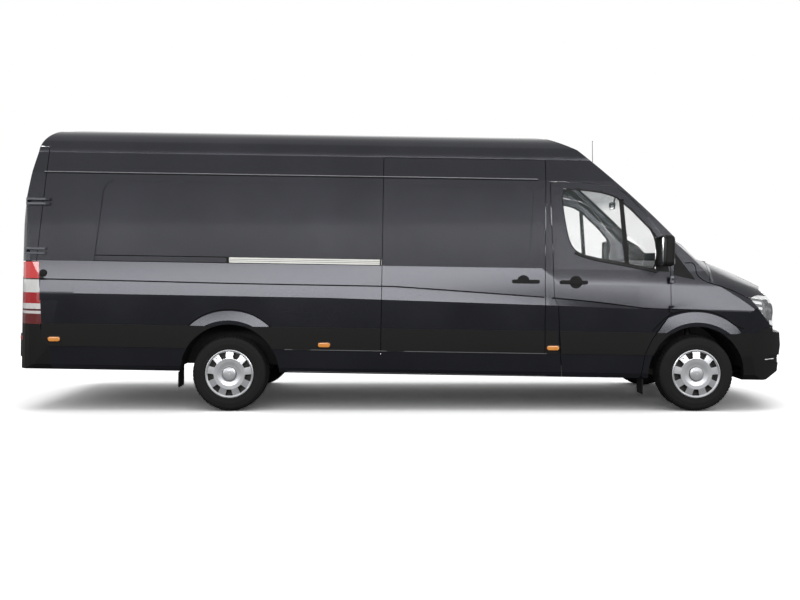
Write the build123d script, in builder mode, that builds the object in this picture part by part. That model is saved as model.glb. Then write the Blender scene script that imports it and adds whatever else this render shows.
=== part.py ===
from build123d import *
import os
from math import asin, cos, degrees, pi, radians, sin, sqrt, tan

os.makedirs("parts", exist_ok=True)

# A high-roof, long-wheelbase panel van, in millimetres. The body is drawn level, with x towards
# the nose and y towards the left side, and stands on its wheels with a slight nose-down rake.

# running gear
wheelbase = 4325
rear_axle_x = -1662
front_axle_x = rear_axle_x + wheelbase
track = 1713
tyre_radius = 348
tyre_width = 235
tyre_bead_radius = 214
cover_radius = 224
rake = 0.9
ride = 14.6
hub_radius = 62
window_ring_radius = 174
cover_windows = 9
brake_disc_radius = 150
brake_disc_thickness = 28
hub_face = 60
ball_y = 800
ball_z = 262
ball_radius = 18
strut_top_y = 690
strut_radius = 28

# body
rear_face_x = -3640
nose_x = 3602
bumper_nose_x = 3671
rear_bumper_x = -3680
tow_eye_y = 560
tow_eye_z = 500
tow_eye_radius = 9
sill_z = 322
belt_z = 1326
drip_z = 2152
roof_edge_z = 2350
roof_crown_z = 2645
sill_half_width = 930
lower_half_width = 978
band_half_width = 988
swage_half_width = 974
belt_half_width = 954
drip_half_width = 905
roof_edge_half_width = 860
wall = 55
bonnet_wall = 32
blank_depth = 9
glass_thickness = 6
glass_inset = 14
panel_gap = 6
seat_gap = 0.3
floor_z = 650
floor_thickness = 30
cab_floor_z = 520
moulding_thickness = 12
moulding_top_z = 750
moulding_bottom_z = 543
front_arch_radius = 440
rear_arch_radius = 460

sill_point_z = sill_z + 48
under_z = 100
rake_angle = radians(rake)


def axle_height(x):
    """Height of a wheel centre in the level body frame, so that its tyre stands on the ground."""
    return (tyre_radius - ride + x * sin(rake_angle)) / cos(rake_angle)


rear_axle_z = axle_height(rear_axle_x)
front_axle_z = axle_height(front_axle_x)

# stations along the body: x, height of the band's lower edge, height of the swage, belt half-width
stations = [
    (-3760, 1034, 1161, 954),
    (-740, 1026, 1145, 954),
    (1250, 990, 1066, 954),
    (2130, 968, 979, 944),
    (3760, 950, 962, 900),
]


def section_points(inset, station):
    """Half outline of the body from the sill's middle out and up to the crown's edge."""
    x, band_z, swage_z, belt_half = station
    bottom = sill_z if inset == 0 else under_z
    lean = belt_half - belt_half_width
    return [
        (0, bottom),
        (sill_half_width - inset, bottom),
        (lower_half_width - 14 - inset, sill_point_z),
        (lower_half_width - inset, moulding_bottom_z),
        (lower_half_width + 4 - inset, moulding_top_z),
        (band_half_width - inset, band_z),
        (swage_half_width - inset, swage_z),
        (belt_half - inset, belt_z),
        (drip_half_width + lean - inset, drip_z),
        (roof_edge_half_width + lean - inset, roof_edge_z),
    ]


def side_loft(inset):
    """The body's sides and roof, as flat-sided stations ruled together."""
    with BuildPart() as solid:
        for station in stations:
            half = section_points(inset, station)
            lean = station[3] - belt_half_width
            edge = half[-1]
            knee = (812 + lean - inset * 0.8, 2500 - inset * 0.6)
            shoulder = (650 + lean - inset * 0.4, 2568 - inset)
            crown = (0, roof_crown_z - inset)
            with BuildSketch(Plane.YZ.offset(station[0])):
                with BuildLine():
                    Polyline(*half)
                    ThreePointArc(edge, knee, shoulder)
                    ThreePointArc(shoulder, crown, (-shoulder[0], shoulder[1]))
                    ThreePointArc((-shoulder[0], shoulder[1]), (-knee[0], knee[1]), (-edge[0], edge[1]))
                    Polyline(*[(-y, z) for y, z in reversed(half)])
                make_face()
        loft(ruled=True)
    return solid.part


screen_axis_x = -400
nose_axis_x = nose_x - 2000


# roof front, windscreen and bonnet at the middle of the van: x, z and the way inwards from each point
screen_line = [
    (900, 2668, 0, -1),
    (1397, 2574, -0.3, -0.95),
    (1727, 2447, -0.55, -0.84),
    (2290, 1951, -0.7, -0.72),
    (2748, 1486, -0.72, -0.69),
    (2792, 1440, -0.56, -0.86),
    (3083, 1335, -0.36, -0.93),
    (3470, 1152, -0.45, -0.89),
    (3900, 900, -0.5, -0.86),
]


def screen_solid(inset):
    """Roof front, windscreen and bonnet as one profile turned about an upright axis far behind."""
    line = [(x + inset * x_in, z + inset * z_in) for x, z, x_in, z_in in screen_line]
    with BuildPart() as solid:
        with BuildSketch(Plane.XZ):
            with BuildLine():
                ThreePointArc(*line[0:3])
                ThreePointArc(*line[2:5])
                Line(*line[4:6])
                ThreePointArc(*line[5:8])
                Polyline(*line[7:9], (3900, 0), (screen_axis_x, 0), (screen_axis_x, line[0][1]), line[0])
            make_face()
        revolve(axis=Axis((screen_axis_x, 0, 0), (0, 0, 1)))
        with BuildSketch(Plane.XZ.offset(1100)):
            with Locations((-1450, 1400)):
                Rectangle(4700, 3000)
        extrude(amount=-2200)
    return solid.part


def nose_solid(inset):
    """The grille and bonnet front, curved in plan."""
    with BuildPart() as solid:
        with BuildSketch(Plane.XZ):
            with BuildLine():
                Polyline(
                    (nose_axis_x, 3000),
                    (3440, 3000),
                    (3475, 1160),
                    (3517, 1121),
                )
                ThreePointArc((3517, 1121), (3572, 1064), (3596, 981))
                Polyline(
                    (3596, 981),
                    (nose_x, 881),
                    (nose_x + 4, 770),
                    (3662, 757),
                    (bumper_nose_x, 640),
                    (3656, 500),
                    (3646, 398),
                    (3560, 325),
                    (3316, 280),
                    (nose_axis_x, 280 if inset == 0 else under_z),
                    (nose_axis_x, 3000),
                )
            make_face()
            if inset:
                offset(amount=-inset, kind=Kind.INTERSECTION, mode=Mode.REPLACE)
                with Locations((nose_axis_x + 300, 1500)):
                    Rectangle(600, 2 * (1200 - inset))
        revolve(axis=Axis((nose_axis_x, 0, 0), (0, 0, 1)))
        with BuildSketch(Plane.XZ.offset(1100)):
            with Locations((-1000, 1400)):
                Rectangle(7600, 3000)
        extrude(amount=-2200)
    return solid.part


def plan_solid(inset):
    """Rounded corners at the tail and the nose, seen from above."""
    half = 1040
    corner = [(-10, 815), (2, 850), (26, 890), (62, 925), (110, 950), (180, 966), (330, 980), (800, half)]
    with BuildPart() as solid:
        with BuildSketch(Plane.XY.offset(50)):
            with BuildLine():
                for side in (-1, 1):
                    Polyline(*[(rear_face_x + x, side * y) for x, y in corner], (2750, side * half))
                    ThreePointArc((2750, side * half), (3260, side * 945), (3500, side * 800))
                    Line((3500, side * 800), (3800, side * 600))
                Line((rear_face_x - 10, -815), (rear_face_x - 10, 815))
                Line((3800, -600), (3800, 600))
            make_face()
            if inset:
                offset(amount=-inset, kind=Kind.INTERSECTION, mode=Mode.REPLACE)
        extrude(amount=2700)
    return solid.part


def tail_solid(inset):
    """Side profile of the tail: the doors lean forward and round into the roof."""
    with BuildPart() as solid:
        with BuildSketch(Plane.XZ.offset(1100)):
            with BuildLine():
                Polyline(
                    (3800, 2800),
                    (3800, 60),
                    (rear_face_x - 12 + inset, 60),
                    (rear_face_x - 12 + inset, 745),
                    (rear_face_x + inset, belt_z),
                    (-3623 + inset, 1567),
                )
                ThreePointArc((-3623 + inset, 1567), (-3556 + inset, 2085), (-3500 + inset, 2360))
                ThreePointArc((-3500 + inset, 2360), (-3431 + inset * 0.8, 2500 - inset * 0.5), (-3255, 2600 - inset))
                Polyline((-3255, 2600 - inset), (-3000, 2800), (3800, 2800))
            make_face()
        extrude(amount=-2200)
    return solid.part


# the cut over the bonnet's shoulders, from where it leaves the flanks: x, way out of the body, fall below the crest line
shoulder_stations = [(2440, 130, 0), (2820, 0, 0), (3300, 0, 4), (3840, -10, 30)]


def bonnet_shoulders(inset):
    """What the bonnet's rounded shoulders take off the body, ahead of the windscreen."""
    slope = tan(radians(24))
    with BuildPart() as solid:
        for side in (-1, 1):
            for x, out, fall in shoulder_stations:
                crest_z = 1409 + (2887 - x) * slope - fall
                inner_point = (side * (520 + out), crest_z + 20 + out * 0.3 - inset)
                outer_point = (side * (1000 + out - inset), crest_z - 440)
                with BuildSketch(Plane.YZ.offset(x)):
                    with BuildLine():
                        ThreePointArc(inner_point, (side * (840 + out - inset * 0.5), crest_z - 95 + out * 0.5 - inset * 0.8), outer_point)
                        Polyline(outer_point, (side * 1400, crest_z - 440), (side * 1400, crest_z + 700), (inner_point[0], crest_z + 700), inner_point)
                    make_face()
            loft(ruled=True)
    return solid.part


def envelope(inset):
    """The body's outer form, or a smaller one set in by a wall."""
    with BuildPart() as solid:
        add(side_loft(inset))
        add(screen_solid(inset), mode=Mode.INTERSECT)
        add(nose_solid(inset), mode=Mode.INTERSECT)
        add(plan_solid(inset), mode=Mode.INTERSECT)
        add(tail_solid(inset), mode=Mode.INTERSECT)
        add(bonnet_shoulders(inset), mode=Mode.SUBTRACT)
    return solid.part



def side_prism(points, y_low, y_high, grow=0):
    """A solid with a side-view outline, between two distances across the van."""
    with BuildPart() as solid:
        with BuildSketch(Plane.XZ.offset(-y_high)):
            with BuildLine():
                Polyline(*points, points[0])
            make_face()
            if grow:
                offset(amount=grow, kind=Kind.INTERSECTION, mode=Mode.REPLACE)
        extrude(amount=y_high - y_low)
    return solid.part


def front_prism(points, x_low, x_high, grow=0):
    """A solid with a front-view outline, between two distances along the van."""
    with BuildPart() as solid:
        with BuildSketch(Plane.YZ.offset(x_low)):
            with BuildLine():
                Polyline(*points, points[0])
            make_face()
            if grow:
                offset(amount=grow, kind=Kind.INTERSECTION, mode=Mode.REPLACE)
        extrude(amount=x_high - x_low)
    return solid.part


def plan_prism(points, z_low, z_high, grow=0):
    """A solid with an outline seen from above, between two heights."""
    with BuildPart() as solid:
        with BuildSketch(Plane.XY.offset(z_low)):
            with BuildLine():
                Polyline(*points, points[0])
            make_face()
            if grow:
                offset(amount=grow, kind=Kind.INTERSECTION, mode=Mode.REPLACE)
        extrude(amount=z_high - z_low)
    return solid.part


def slab(x_low, x_high, y_low, y_high, z_low, z_high):
    with BuildPart() as solid:
        with Locations(((x_low + x_high) / 2, (y_low + y_high) / 2, (z_low + z_high) / 2)):
            Box(x_high - x_low, y_high - y_low, z_high - z_low)
    return solid.part


def cross_cylinder(x, z, radius, y_low, y_high):
    """A cylinder lying across the van."""
    with BuildPart() as solid:
        with BuildSketch(Plane.XZ.offset(-y_high)):
            with Locations((x, z)):
                Circle(radius)
        extrude(amount=y_high - y_low)
    return solid.part


def across(x, z, radius, side, y_near, y_far):
    """A cylinder lying across the van, on one side, between two distances from the middle."""
    y_low, y_high = (y_near, y_far) if side > 0 else (-y_far, -y_near)
    return cross_cylinder(x, z, radius, y_low, y_high)


def block(x_low, x_high, side, y_near, y_far, z_low, z_high):
    """A box on one side, between two distances from the middle."""
    y_low, y_high = (y_near, y_far) if side > 0 else (-y_far, -y_near)
    return slab(x_low, x_high, y_low, y_high, z_low, z_high)


def rod(start, end, radius):
    """A round bar between two points."""
    run = Vector(*end) - Vector(*start)
    with BuildPart() as solid:
        with BuildSketch(Plane(origin=start, z_dir=run)):
            Circle(radius)
        extrude(amount=run.length)
    return solid.part


far = 1300
outer = envelope(0)
inner = envelope(wall)
with BuildPart() as shell_block:
    add(outer)
    add(inner, mode=Mode.SUBTRACT)
shell = shell_block.part
with BuildPart() as bonnet_block:
    add(outer)
    add(envelope(bonnet_wall), mode=Mode.SUBTRACT)
bonnet_shell = bonnet_block.part
with BuildPart() as glass_block:
    add(envelope(glass_inset))
    add(envelope(glass_inset + glass_thickness), mode=Mode.SUBTRACT)
glass_shell = glass_block.part
lined_space = envelope(wall + seat_gap)

# shut lines seen from the side, in pairs of x and z
door_rear_line = [(1297, 2137), (1312, 1762), (1325, 1501), (1342, 1055), (1378, 989), (1402, 543), (1429, 300)]
door_front_line = [(2146, 300), (2184, 569), (2246, 697), (2418, 934), (2418, 1342)]
door_top_line = [(2357, 1629), (2162, 1876), (2016, 2026), (1930, 2082), (1824, 2109), (1680, 2126), (1489, 2137)]
front_door_outline = door_rear_line + door_front_line + door_top_line
door_glass_outline = [
    (1400, 1990), (1424, 1815), (1460, 1625), (1495, 1540), (1543, 1483), (1639, 1447), (1830, 1411),
    (2000, 1385), (2165, 1350), (2290, 1330), (2300, 1640), (2158, 1798), (1964, 1976), (1868, 2031),
    (1677, 2067), (1420, 2080),
]
window_blank_outline = [
    (-2941, 1332), (-2921, 1528), (-2897, 1761), (-2877, 1994), (-2835, 2066), (-2786, 2088),
    (1008, 2088), (1125, 2076), (1142, 2004), (1127, 1738), (1111, 1510), (1074, 1396), (985, 1332),
]
screen_outline = [(-770, 1510), (770, 1510), (700, 2330), (600, 2400), (-600, 2400), (-700, 2330)]
slide_rear_x = -266
slide_front_x = 1250
slide_low_z = 505
post_front_x = 1290
rear_door_top_z = 2400
rear_door_low_z = 648
lamp_low_z = 742
lamp_top_z = 1318
tail_line = [(-3400, 2800), (-3400, rear_door_top_z), (-3404, 2176), (-3468, lamp_top_z + 8), (-3448, lamp_top_z), (-3410, lamp_low_z), (-3410, 0)]
corner_y = 800
corner_depth = 60
corner_lean = 0.49
rear_hinge = (-3565, 957)
front_hinge = (2408, 990)
bonnet_hinge = (2802, 1443)
hinge_radius = 8
pin_radius = 4
bumper_seam = [(-3421, 742), (-3410, 656), (-3384, 583), (-3339, 546), (-3308, 300)]
headlamp_outline = [
    (3171, 1079), (3264, 1107), (3351, 1100), (3700, 1062), (3700, 806), (3437, 812), (3377, 837), (3300, 917), (3222, 1003),
]
bumper_top_line = [(2960, 733), (3078, 762), (3249, 757), (3300, 800), (3700, 800)]
bonnet_rear_x = 2790
grille_half_width = 470
hinge_out = 8

front_arch = cross_cylinder(front_axle_x, front_axle_z, front_arch_radius, -far, far)
rear_arch = cross_cylinder(rear_axle_x, rear_axle_z, rear_arch_radius, -far, far)


# wheel arch flares: outer circle on the flank and inner circle at the lip, each as x from the axle, height and radius
front_flare = ((-13, 442, 526), (4, 374, 478))
rear_flare = ((-2, 358, 537), (-7, 306, 498))
flare_root_y = 984
flare_lip_y = 1003


def flare(axle_x, axle_z, arch_radius, circles, side):
    """The raised lip over a wheel arch on one side: a cone between two circles, open over the wheel."""
    with BuildPart() as solid:
        for (x, z, radius), y in zip(circles, (flare_root_y, flare_lip_y)):
            with BuildSketch(Plane.XZ.offset(-side * y)):
                with Locations((axle_x + x, z)):
                    Circle(radius)
        loft(ruled=True)
        add(across(axle_x + circles[0][0], circles[0][1], circles[0][2], side, flare_root_y - 30, flare_root_y))
        add(block(axle_x - 900, axle_x + 900, side, 800, 1100, -900, moulding_top_z), mode=Mode.SUBTRACT)
        add(across(axle_x, axle_z, arch_radius, side, 800, 1100), mode=Mode.SUBTRACT)
    return solid.part


def bumper_prism(grow=0):
    return side_prism(bumper_seam + [(-3800, 300), (-3800, 742)], -far, far, grow)


def corner_prism(side, z_low, z_high, grow=0):
    """The rear corner outside the bevelled face that the rear door shuts against."""
    back, fore = rear_face_x - corner_depth, rear_face_x + 4 * corner_depth
    points = [
        (back, corner_y + corner_lean * corner_depth), (fore, corner_y - corner_lean * 4 * corner_depth), (fore, 1200), (back, 1200),
    ]
    return plan_prism([(x, side * y) for x, y in points], z_low, z_high, grow)


def ahead_of_tail(grow=0):
    """Everything forward of the shut line that runs up the rear corners."""
    return side_prism(tail_line + [(4000, 0), (4000, 2800)], -far, far, grow)


# hinges: places, the heights or distances of their middles, and how long each barrel is
rear_hinge_heights = (1420, 1880)
front_hinge_heights = (975, 1245)
bonnet_hinge_y = 230
door_barrel = 12
body_barrel = 18


def barrel(x, y, z, half_length):
    """An upright hinge barrel."""
    return rod((x, y, z - half_length), (x, y, z + half_length), hinge_radius)


def hinge_pin(x, y, z, clear=0):
    """The pin through a hinge, or the bore that it turns in."""
    reach = door_barrel + body_barrel
    return rod((x, y, z - reach), (x, y, z + reach), pin_radius + clear)


def body_leaf(x, y, z, foot):
    """The body's half of an upright hinge: two barrels, their arms to a foot, and the pin."""
    offset_z = door_barrel + seat_gap
    with BuildPart() as leaf:
        for z_low, z_high in ((z - offset_z - body_barrel, z - offset_z), (z + offset_z, z + offset_z + body_barrel)):
            add(rod((x, y, z_low), (x, y, z_high), hinge_radius))
            add(plan_prism(foot, z_low, z_high))
        add(hinge_pin(x, y, z))
    return leaf.part


def rear_leaf(side, z):
    """A strap from the flank that passes outside the rear door's wrapped edge."""
    x, y = rear_hinge
    foot = [(x, y + 2), (x, y + 7), (-3390, y + 7), (-3360, 940), (-3360, 900), (-3394, 900), (-3394, y + 2)]
    return body_leaf(x, side * y, z, [(a, side * b) for a, b in foot])


def front_leaf(side, z):
    """An arm from the front fender back to the cab door's pin."""
    x, y = front_hinge
    foot = [(x, y - 7), (x, y + 7), (x + 28, y + 7), (x + 54, 950), (x + 54, 915), (x + 22, 915), (x + 22, y - 7)]
    return body_leaf(x, side * y, z, [(a, side * b) for a, b in foot])


bonnet_line = [(2664, 1251), (2972, 1163), (3151, 1081)]
bonnet_edge = [(bonnet_rear_x, 1215), (2972, 1163), (3151, 1081)] + headlamp_outline[:3] + [(3700, 1062)]
bonnet_region = side_prism([(x, z + panel_gap) for x, z in bonnet_edge] + [(3700, 1600), (bonnet_rear_x, 1600)], -far, far)
fender_outline = [(x + panel_gap, z) for x, z in door_front_line[:4]] + [
    (2418 + panel_gap, 1290), (2449, 1285), (2653, 1245),
] + bonnet_line + [headlamp_outline[0]] + headlamp_outline[:4:-1] + [(3300, 800), (3249, 757), (3078, 762), (2960, 733), (2960, 250)]

# body in white
bumper_front = side_prism(bumper_top_line + [(3750, 800), (3750, 200), (2960, 200)], -far, far)
with BuildPart() as blank_block:
    add(outer)
    add(envelope(blank_depth), mode=Mode.SUBTRACT)
    add(side_prism(window_blank_outline, -far, far), mode=Mode.INTERSECT)
blank = blank_block.part

with BuildPart() as side_wall_left:
    add(shell)
    add(slab(-3700, post_front_x, 0, far, 0, roof_edge_z), mode=Mode.INTERSECT)
    add(ahead_of_tail(), mode=Mode.INTERSECT)
    add(flare(rear_axle_x, rear_axle_z, rear_arch_radius, rear_flare, 1))
    add(rear_arch, mode=Mode.SUBTRACT)
    add(blank, mode=Mode.SUBTRACT)
    add(bumper_prism(), mode=Mode.SUBTRACT)
    for z in rear_hinge_heights:
        add(rear_leaf(1, z))

with BuildPart() as side_wall_right:
    add(shell)
    add(slab(-3700, post_front_x, -far, 0, 0, roof_edge_z), mode=Mode.INTERSECT)
    add(ahead_of_tail(), mode=Mode.INTERSECT)
    add(slab(slide_rear_x, slide_front_x + panel_gap, -far, 0, slide_low_z, roof_edge_z), mode=Mode.SUBTRACT)
    add(flare(rear_axle_x, rear_axle_z, rear_arch_radius, rear_flare, -1))
    add(rear_arch, mode=Mode.SUBTRACT)
    add(blank, mode=Mode.SUBTRACT)
    add(bumper_prism(), mode=Mode.SUBTRACT)
    for z in rear_hinge_heights:
        add(rear_leaf(-1, z))

with BuildPart() as sliding_door:
    add(shell)
    add(
        slab(slide_rear_x + panel_gap, slide_front_x, -far, 0, slide_low_z, roof_edge_z - panel_gap),
        mode=Mode.INTERSECT,
    )
    add(blank, mode=Mode.SUBTRACT)

with BuildPart() as roof:
    add(shell)
    add(
        side_prism(
            [
                (-3800, rear_door_top_z + panel_gap), (tail_line[1][0], rear_door_top_z + panel_gap), (tail_line[1][0], roof_edge_z),
                (post_front_x, roof_edge_z), (post_front_x, 2800), (-3800, 2800),
            ],
            -far, far,
        ),
        mode=Mode.INTERSECT,
    )

bonnet_x, bonnet_z = bonnet_hinge
bonnet_arm = [(2802, 1436), (2804, 1450), (2782, 1463), (2762, 1463), (2762, 1430), (2783, 1430), (2784, 1438)]
offset_y = door_barrel + seat_gap
with BuildPart() as bonnet_arms:
    for y_low, y_high in ((bonnet_hinge_y - offset_y - body_barrel, bonnet_hinge_y - offset_y), (bonnet_hinge_y + offset_y, bonnet_hinge_y + offset_y + body_barrel)):
        add(side_prism(bonnet_arm, y_low, y_high))
        add(cross_cylinder(bonnet_x, bonnet_z, hinge_radius - 1, y_low, y_high))
    reach = door_barrel + body_barrel
    add(cross_cylinder(bonnet_x, bonnet_z, pin_radius, bonnet_hinge_y - reach, bonnet_hinge_y + reach))
    mirror(about=Plane.XZ)

with BuildPart() as bonnet_notches:
    for y_low, y_high in ((bonnet_hinge_y - reach - 6, bonnet_hinge_y - door_barrel), (bonnet_hinge_y + door_barrel, bonnet_hinge_y + reach + 6)):
        add(cross_cylinder(bonnet_x, bonnet_z, hinge_radius + panel_gap, y_low, y_high))
        add(slab(2780, bonnet_x, y_low, y_high, bonnet_z - 14, bonnet_z + 30))
    mirror(about=Plane.XZ)

with BuildPart() as cab_frame:
    add(shell)
    add(slab(post_front_x, bonnet_rear_x - panel_gap, -far, far, 0, 2800), mode=Mode.INTERSECT)
    add(side_prism(front_door_outline, -far, far, panel_gap), mode=Mode.SUBTRACT)
    add(side_prism(fender_outline, -far, far), mode=Mode.SUBTRACT)
    add(front_prism(screen_outline, 1600, 3000), mode=Mode.SUBTRACT)
    add(bonnet_arms.part)

with BuildPart() as windscreen:
    add(glass_shell)
    add(front_prism(screen_outline, 1600, 3000, -seat_gap), mode=Mode.INTERSECT)

with BuildPart() as front_fenders:
    add(shell)
    add(side_prism(fender_outline, -far, far), mode=Mode.INTERSECT)
    for side in (-1, 1):
        add(flare(front_axle_x, front_axle_z, front_arch_radius, front_flare, side))
    add(front_arch, mode=Mode.SUBTRACT)
    add(bumper_front, mode=Mode.SUBTRACT)
    add(side_prism(front_door_outline, -far, far, panel_gap), mode=Mode.SUBTRACT)
    add(slab(3250, 3700, -600, 600, 0, 1300), mode=Mode.SUBTRACT)
    for side in (-1, 1):
        for z in front_hinge_heights:
            add(front_leaf(side, z))

with BuildPart() as bonnet:
    add(bonnet_shell)
    add(bonnet_region, mode=Mode.INTERSECT)
    add(bonnet_notches.part, mode=Mode.SUBTRACT)
    for side in (-1, 1):
        y_low, y_high = side * bonnet_hinge_y - door_barrel, side * bonnet_hinge_y + door_barrel
        add(slab(bonnet_x - 6, bonnet_x + 8, y_low, y_high, bonnet_z - 20, bonnet_z))
        add(cross_cylinder(bonnet_x, bonnet_z, hinge_radius - 1, y_low, y_high))
        add(cross_cylinder(bonnet_x, bonnet_z, pin_radius + seat_gap, y_low - 1, y_high + 1), mode=Mode.SUBTRACT)

# the front bumper's air intake and its fog lamp recesses: half-width or reach across, low and high
intake_half_width = 520
intake_z = (432, 560)
intake_bars = (464, 528)
fog_reach = (610, 900)
fog_z = (472, 548)
fog_depth = 16

with BuildPart() as fog_recess:
    add(outer)
    add(envelope(fog_depth), mode=Mode.SUBTRACT)
    add(front_prism([(-fog_reach[1], fog_z[0]), (fog_reach[1], fog_z[0]), (fog_reach[1], fog_z[1]), (-fog_reach[1], fog_z[1])], 3330, 3800), mode=Mode.INTERSECT)
    add(slab(3300, 3800, -fog_reach[0], fog_reach[0], *fog_z), mode=Mode.SUBTRACT)

with BuildPart() as front_bumper:
    add(shell)
    add(bumper_front, mode=Mode.INTERSECT)
    add(front_arch, mode=Mode.SUBTRACT)
    add(fog_recess.part, mode=Mode.SUBTRACT)
    for z_low, z_high in zip((intake_z[0],) + tuple(z + 8 for z in intake_bars), tuple(z - 8 for z in intake_bars) + (intake_z[1],)):
        add(slab(3300, 3800, -intake_half_width, intake_half_width, z_low, z_high), mode=Mode.SUBTRACT)

with BuildPart() as grille:
    add(shell)
    add(slab(3300, 3700, -grille_half_width, grille_half_width, 800, 1056), mode=Mode.INTERSECT)
    for z in (850, 905, 960, 1015):
        add(slab(3300, 3700, -grille_half_width + 40, grille_half_width - 40, z - 14, z + 14), mode=Mode.SUBTRACT)

with BuildPart() as headlamps:
    add(shell)
    add(side_prism(headlamp_outline, -far, far), mode=Mode.INTERSECT)
    add(slab(3000, 3800, -grille_half_width, grille_half_width, 700, 1200), mode=Mode.SUBTRACT)

with BuildPart() as tail_corners:
    for side in (-1, 1):
        add(corner_prism(side, 0, lamp_top_z))
    add(ahead_of_tail(), mode=Mode.SUBTRACT)

with BuildPart() as tail_lamps:
    add(shell)
    add(tail_corners.part, mode=Mode.INTERSECT)
    add(slab(-3800, -3300, -far, far, 0, lamp_low_z), mode=Mode.SUBTRACT)

with BuildPart() as door_sill_space:
    add(slab(-3800, -3300, -far, far, rear_door_low_z - 8, 800))
    for side in (-1, 1):
        add(corner_prism(side, 0, 1000), mode=Mode.SUBTRACT)

with BuildPart() as rear_bumper:
    add(shell)
    add(bumper_prism(), mode=Mode.INTERSECT)
    add(door_sill_space.part, mode=Mode.SUBTRACT)
    add(slab(rear_bumper_x, -3600, -780, 780, 420, rear_door_low_z - 8))
    add(rod(Vector(-3800, -tow_eye_y, tow_eye_z), Vector(-3560, -tow_eye_y, tow_eye_z), tow_eye_radius), mode=Mode.SUBTRACT)


def rear_door(side):
    y_low, y_high = (-far, -panel_gap / 2) if side < 0 else (panel_gap / 2, far)
    x, y = rear_hinge
    with BuildPart() as door:
        add(shell)
        add(slab(-3800, -3300, y_low, y_high, rear_door_low_z, rear_door_top_z), mode=Mode.INTERSECT)
        add(ahead_of_tail(panel_gap), mode=Mode.SUBTRACT)
        add(corner_prism(side, 0, lamp_top_z + panel_gap, panel_gap), mode=Mode.SUBTRACT)
        for z in rear_hinge_heights:
            add(plan_prism([(x - 6, side * y), (x + 6, side * y), (x + 20, side * 905), (x - 6, side * 900)], z - door_barrel, z + door_barrel))
            add(barrel(x, side * y, z, door_barrel))
            add(hinge_pin(x, side * y, z, seat_gap), mode=Mode.SUBTRACT)
    return door.part


with BuildPart() as rear_door_right:
    add(rear_door(-1))
with BuildPart() as rear_door_left:
    add(rear_door(1))


def front_door(side):
    y_low, y_high = (-far, 0) if side < 0 else (0, far)
    x, y = front_hinge
    notch = [(x, y - 15), (x, y + 20), (x + 16, y + 20), (x + 16, y - 15)]
    with BuildPart() as door:
        add(shell)
        add(side_prism(front_door_outline, y_low, y_high), mode=Mode.INTERSECT)
        add(side_prism(door_glass_outline, y_low, y_high), mode=Mode.SUBTRACT)
        for z in front_hinge_heights:
            for z_low, z_high in ((z - door_barrel - body_barrel - 6, z - door_barrel), (z + door_barrel, z + door_barrel + body_barrel + 6)):
                add(rod((x, side * y, z_low), (x, side * y, z_high), hinge_radius + panel_gap), mode=Mode.SUBTRACT)
                add(plan_prism([(a, side * b) for a, b in notch], z_low, z_high), mode=Mode.SUBTRACT)
            add(plan_prism([(x - 8, side * y), (x + 8, side * y), (x + 8, side * 925), (x - 30, side * 925)], z - door_barrel, z + door_barrel))
            add(barrel(x, side * y, z, door_barrel))
            add(hinge_pin(x, side * y, z, seat_gap), mode=Mode.SUBTRACT)
    return door.part


def door_glass(side):
    y_low, y_high = (-far, 0) if side < 0 else (0, far)
    with BuildPart() as pane:
        add(glass_shell)
        add(side_prism(door_glass_outline, y_low, y_high, -seat_gap), mode=Mode.INTERSECT)
    return pane.part


with BuildPart() as front_door_right:
    add(front_door(-1))
with BuildPart() as front_door_left:
    add(front_door(1))
with BuildPart() as door_glass_right:
    add(door_glass(-1))
with BuildPart() as door_glass_left:
    add(door_glass(1))


# black plastic on the flanks
moulding_y = lower_half_width + moulding_thickness


def moulding(x_low, x_high, side):
    y_low, y_high = (-moulding_y - 6, -900) if side < 0 else (900, moulding_y + 6)
    return slab(x_low, x_high, y_low, y_high, moulding_bottom_z, moulding_top_z)


fender_front_x = 2700
moulding_spans = {
    -1: [(-3400, slide_rear_x), (slide_rear_x + panel_gap, slide_front_x), (slide_front_x + panel_gap, 1370), (2000, fender_front_x)],
    1: [(-3400, 1370), (2000, fender_front_x)],
}

handle_z = 1206
handle_disc_radius = 58
# pull handles: middle of the disc, and the bar's two ends, along the van
front_handle = (1538, 1390, 1645)
slide_handle = (1050, 947, 1199)


def pull_handle(handle, y_disc, y_bar, side):
    """A round recess plate with a bar across it that swells in the middle."""
    disc_x, rear_x, front_x = handle
    with BuildPart() as pull:
        add(across(disc_x, handle_z, handle_disc_radius, side, 900, y_disc))
        add(block(rear_x, front_x, side, y_disc - 40, y_bar - 12, handle_z - 13, handle_z + 13))
        with BuildSketch(Plane.XZ.offset(-side * y_bar)):
            with Locations(((rear_x + front_x) / 2, handle_z)):
                SlotOverall(front_x - rear_x, 34)
        extrude(amount=side * 14)
    return pull.part


mirror_x = 2342
mirror_depth = 84
mirror_height = (1456, 1652)
mirror_reach = (1008, 1205)


def mirror_housing(side):
    """Rounded mirror head on its arm, with the indicator's lobe below it."""
    y_mid, width = side * (mirror_reach[0] + mirror_reach[1]) / 2, mirror_reach[1] - mirror_reach[0]
    low, high = mirror_height
    with BuildPart() as head:
        with BuildSketch(Plane.YZ.offset(mirror_x - mirror_depth / 2)):
            with Locations((y_mid, (low + high) / 2 - 45)):
                RectangleRounded(width, high - low + 90, 46)
        extrude(amount=mirror_depth)
        fillet(head.faces().sort_by(Axis.X)[-1].edges(), 38)
        fillet(head.faces().sort_by(Axis.X)[0].edges(), 8)
        add(plan_prism([(2262, side * 900), (2318, side * 900), (2352, side * 1060), (2310, side * 1060)], 1376, 1424))
    return head.part


with BuildPart() as door_gap_prism:
    add(side_prism(front_door_outline, -far, far, panel_gap))

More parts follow.
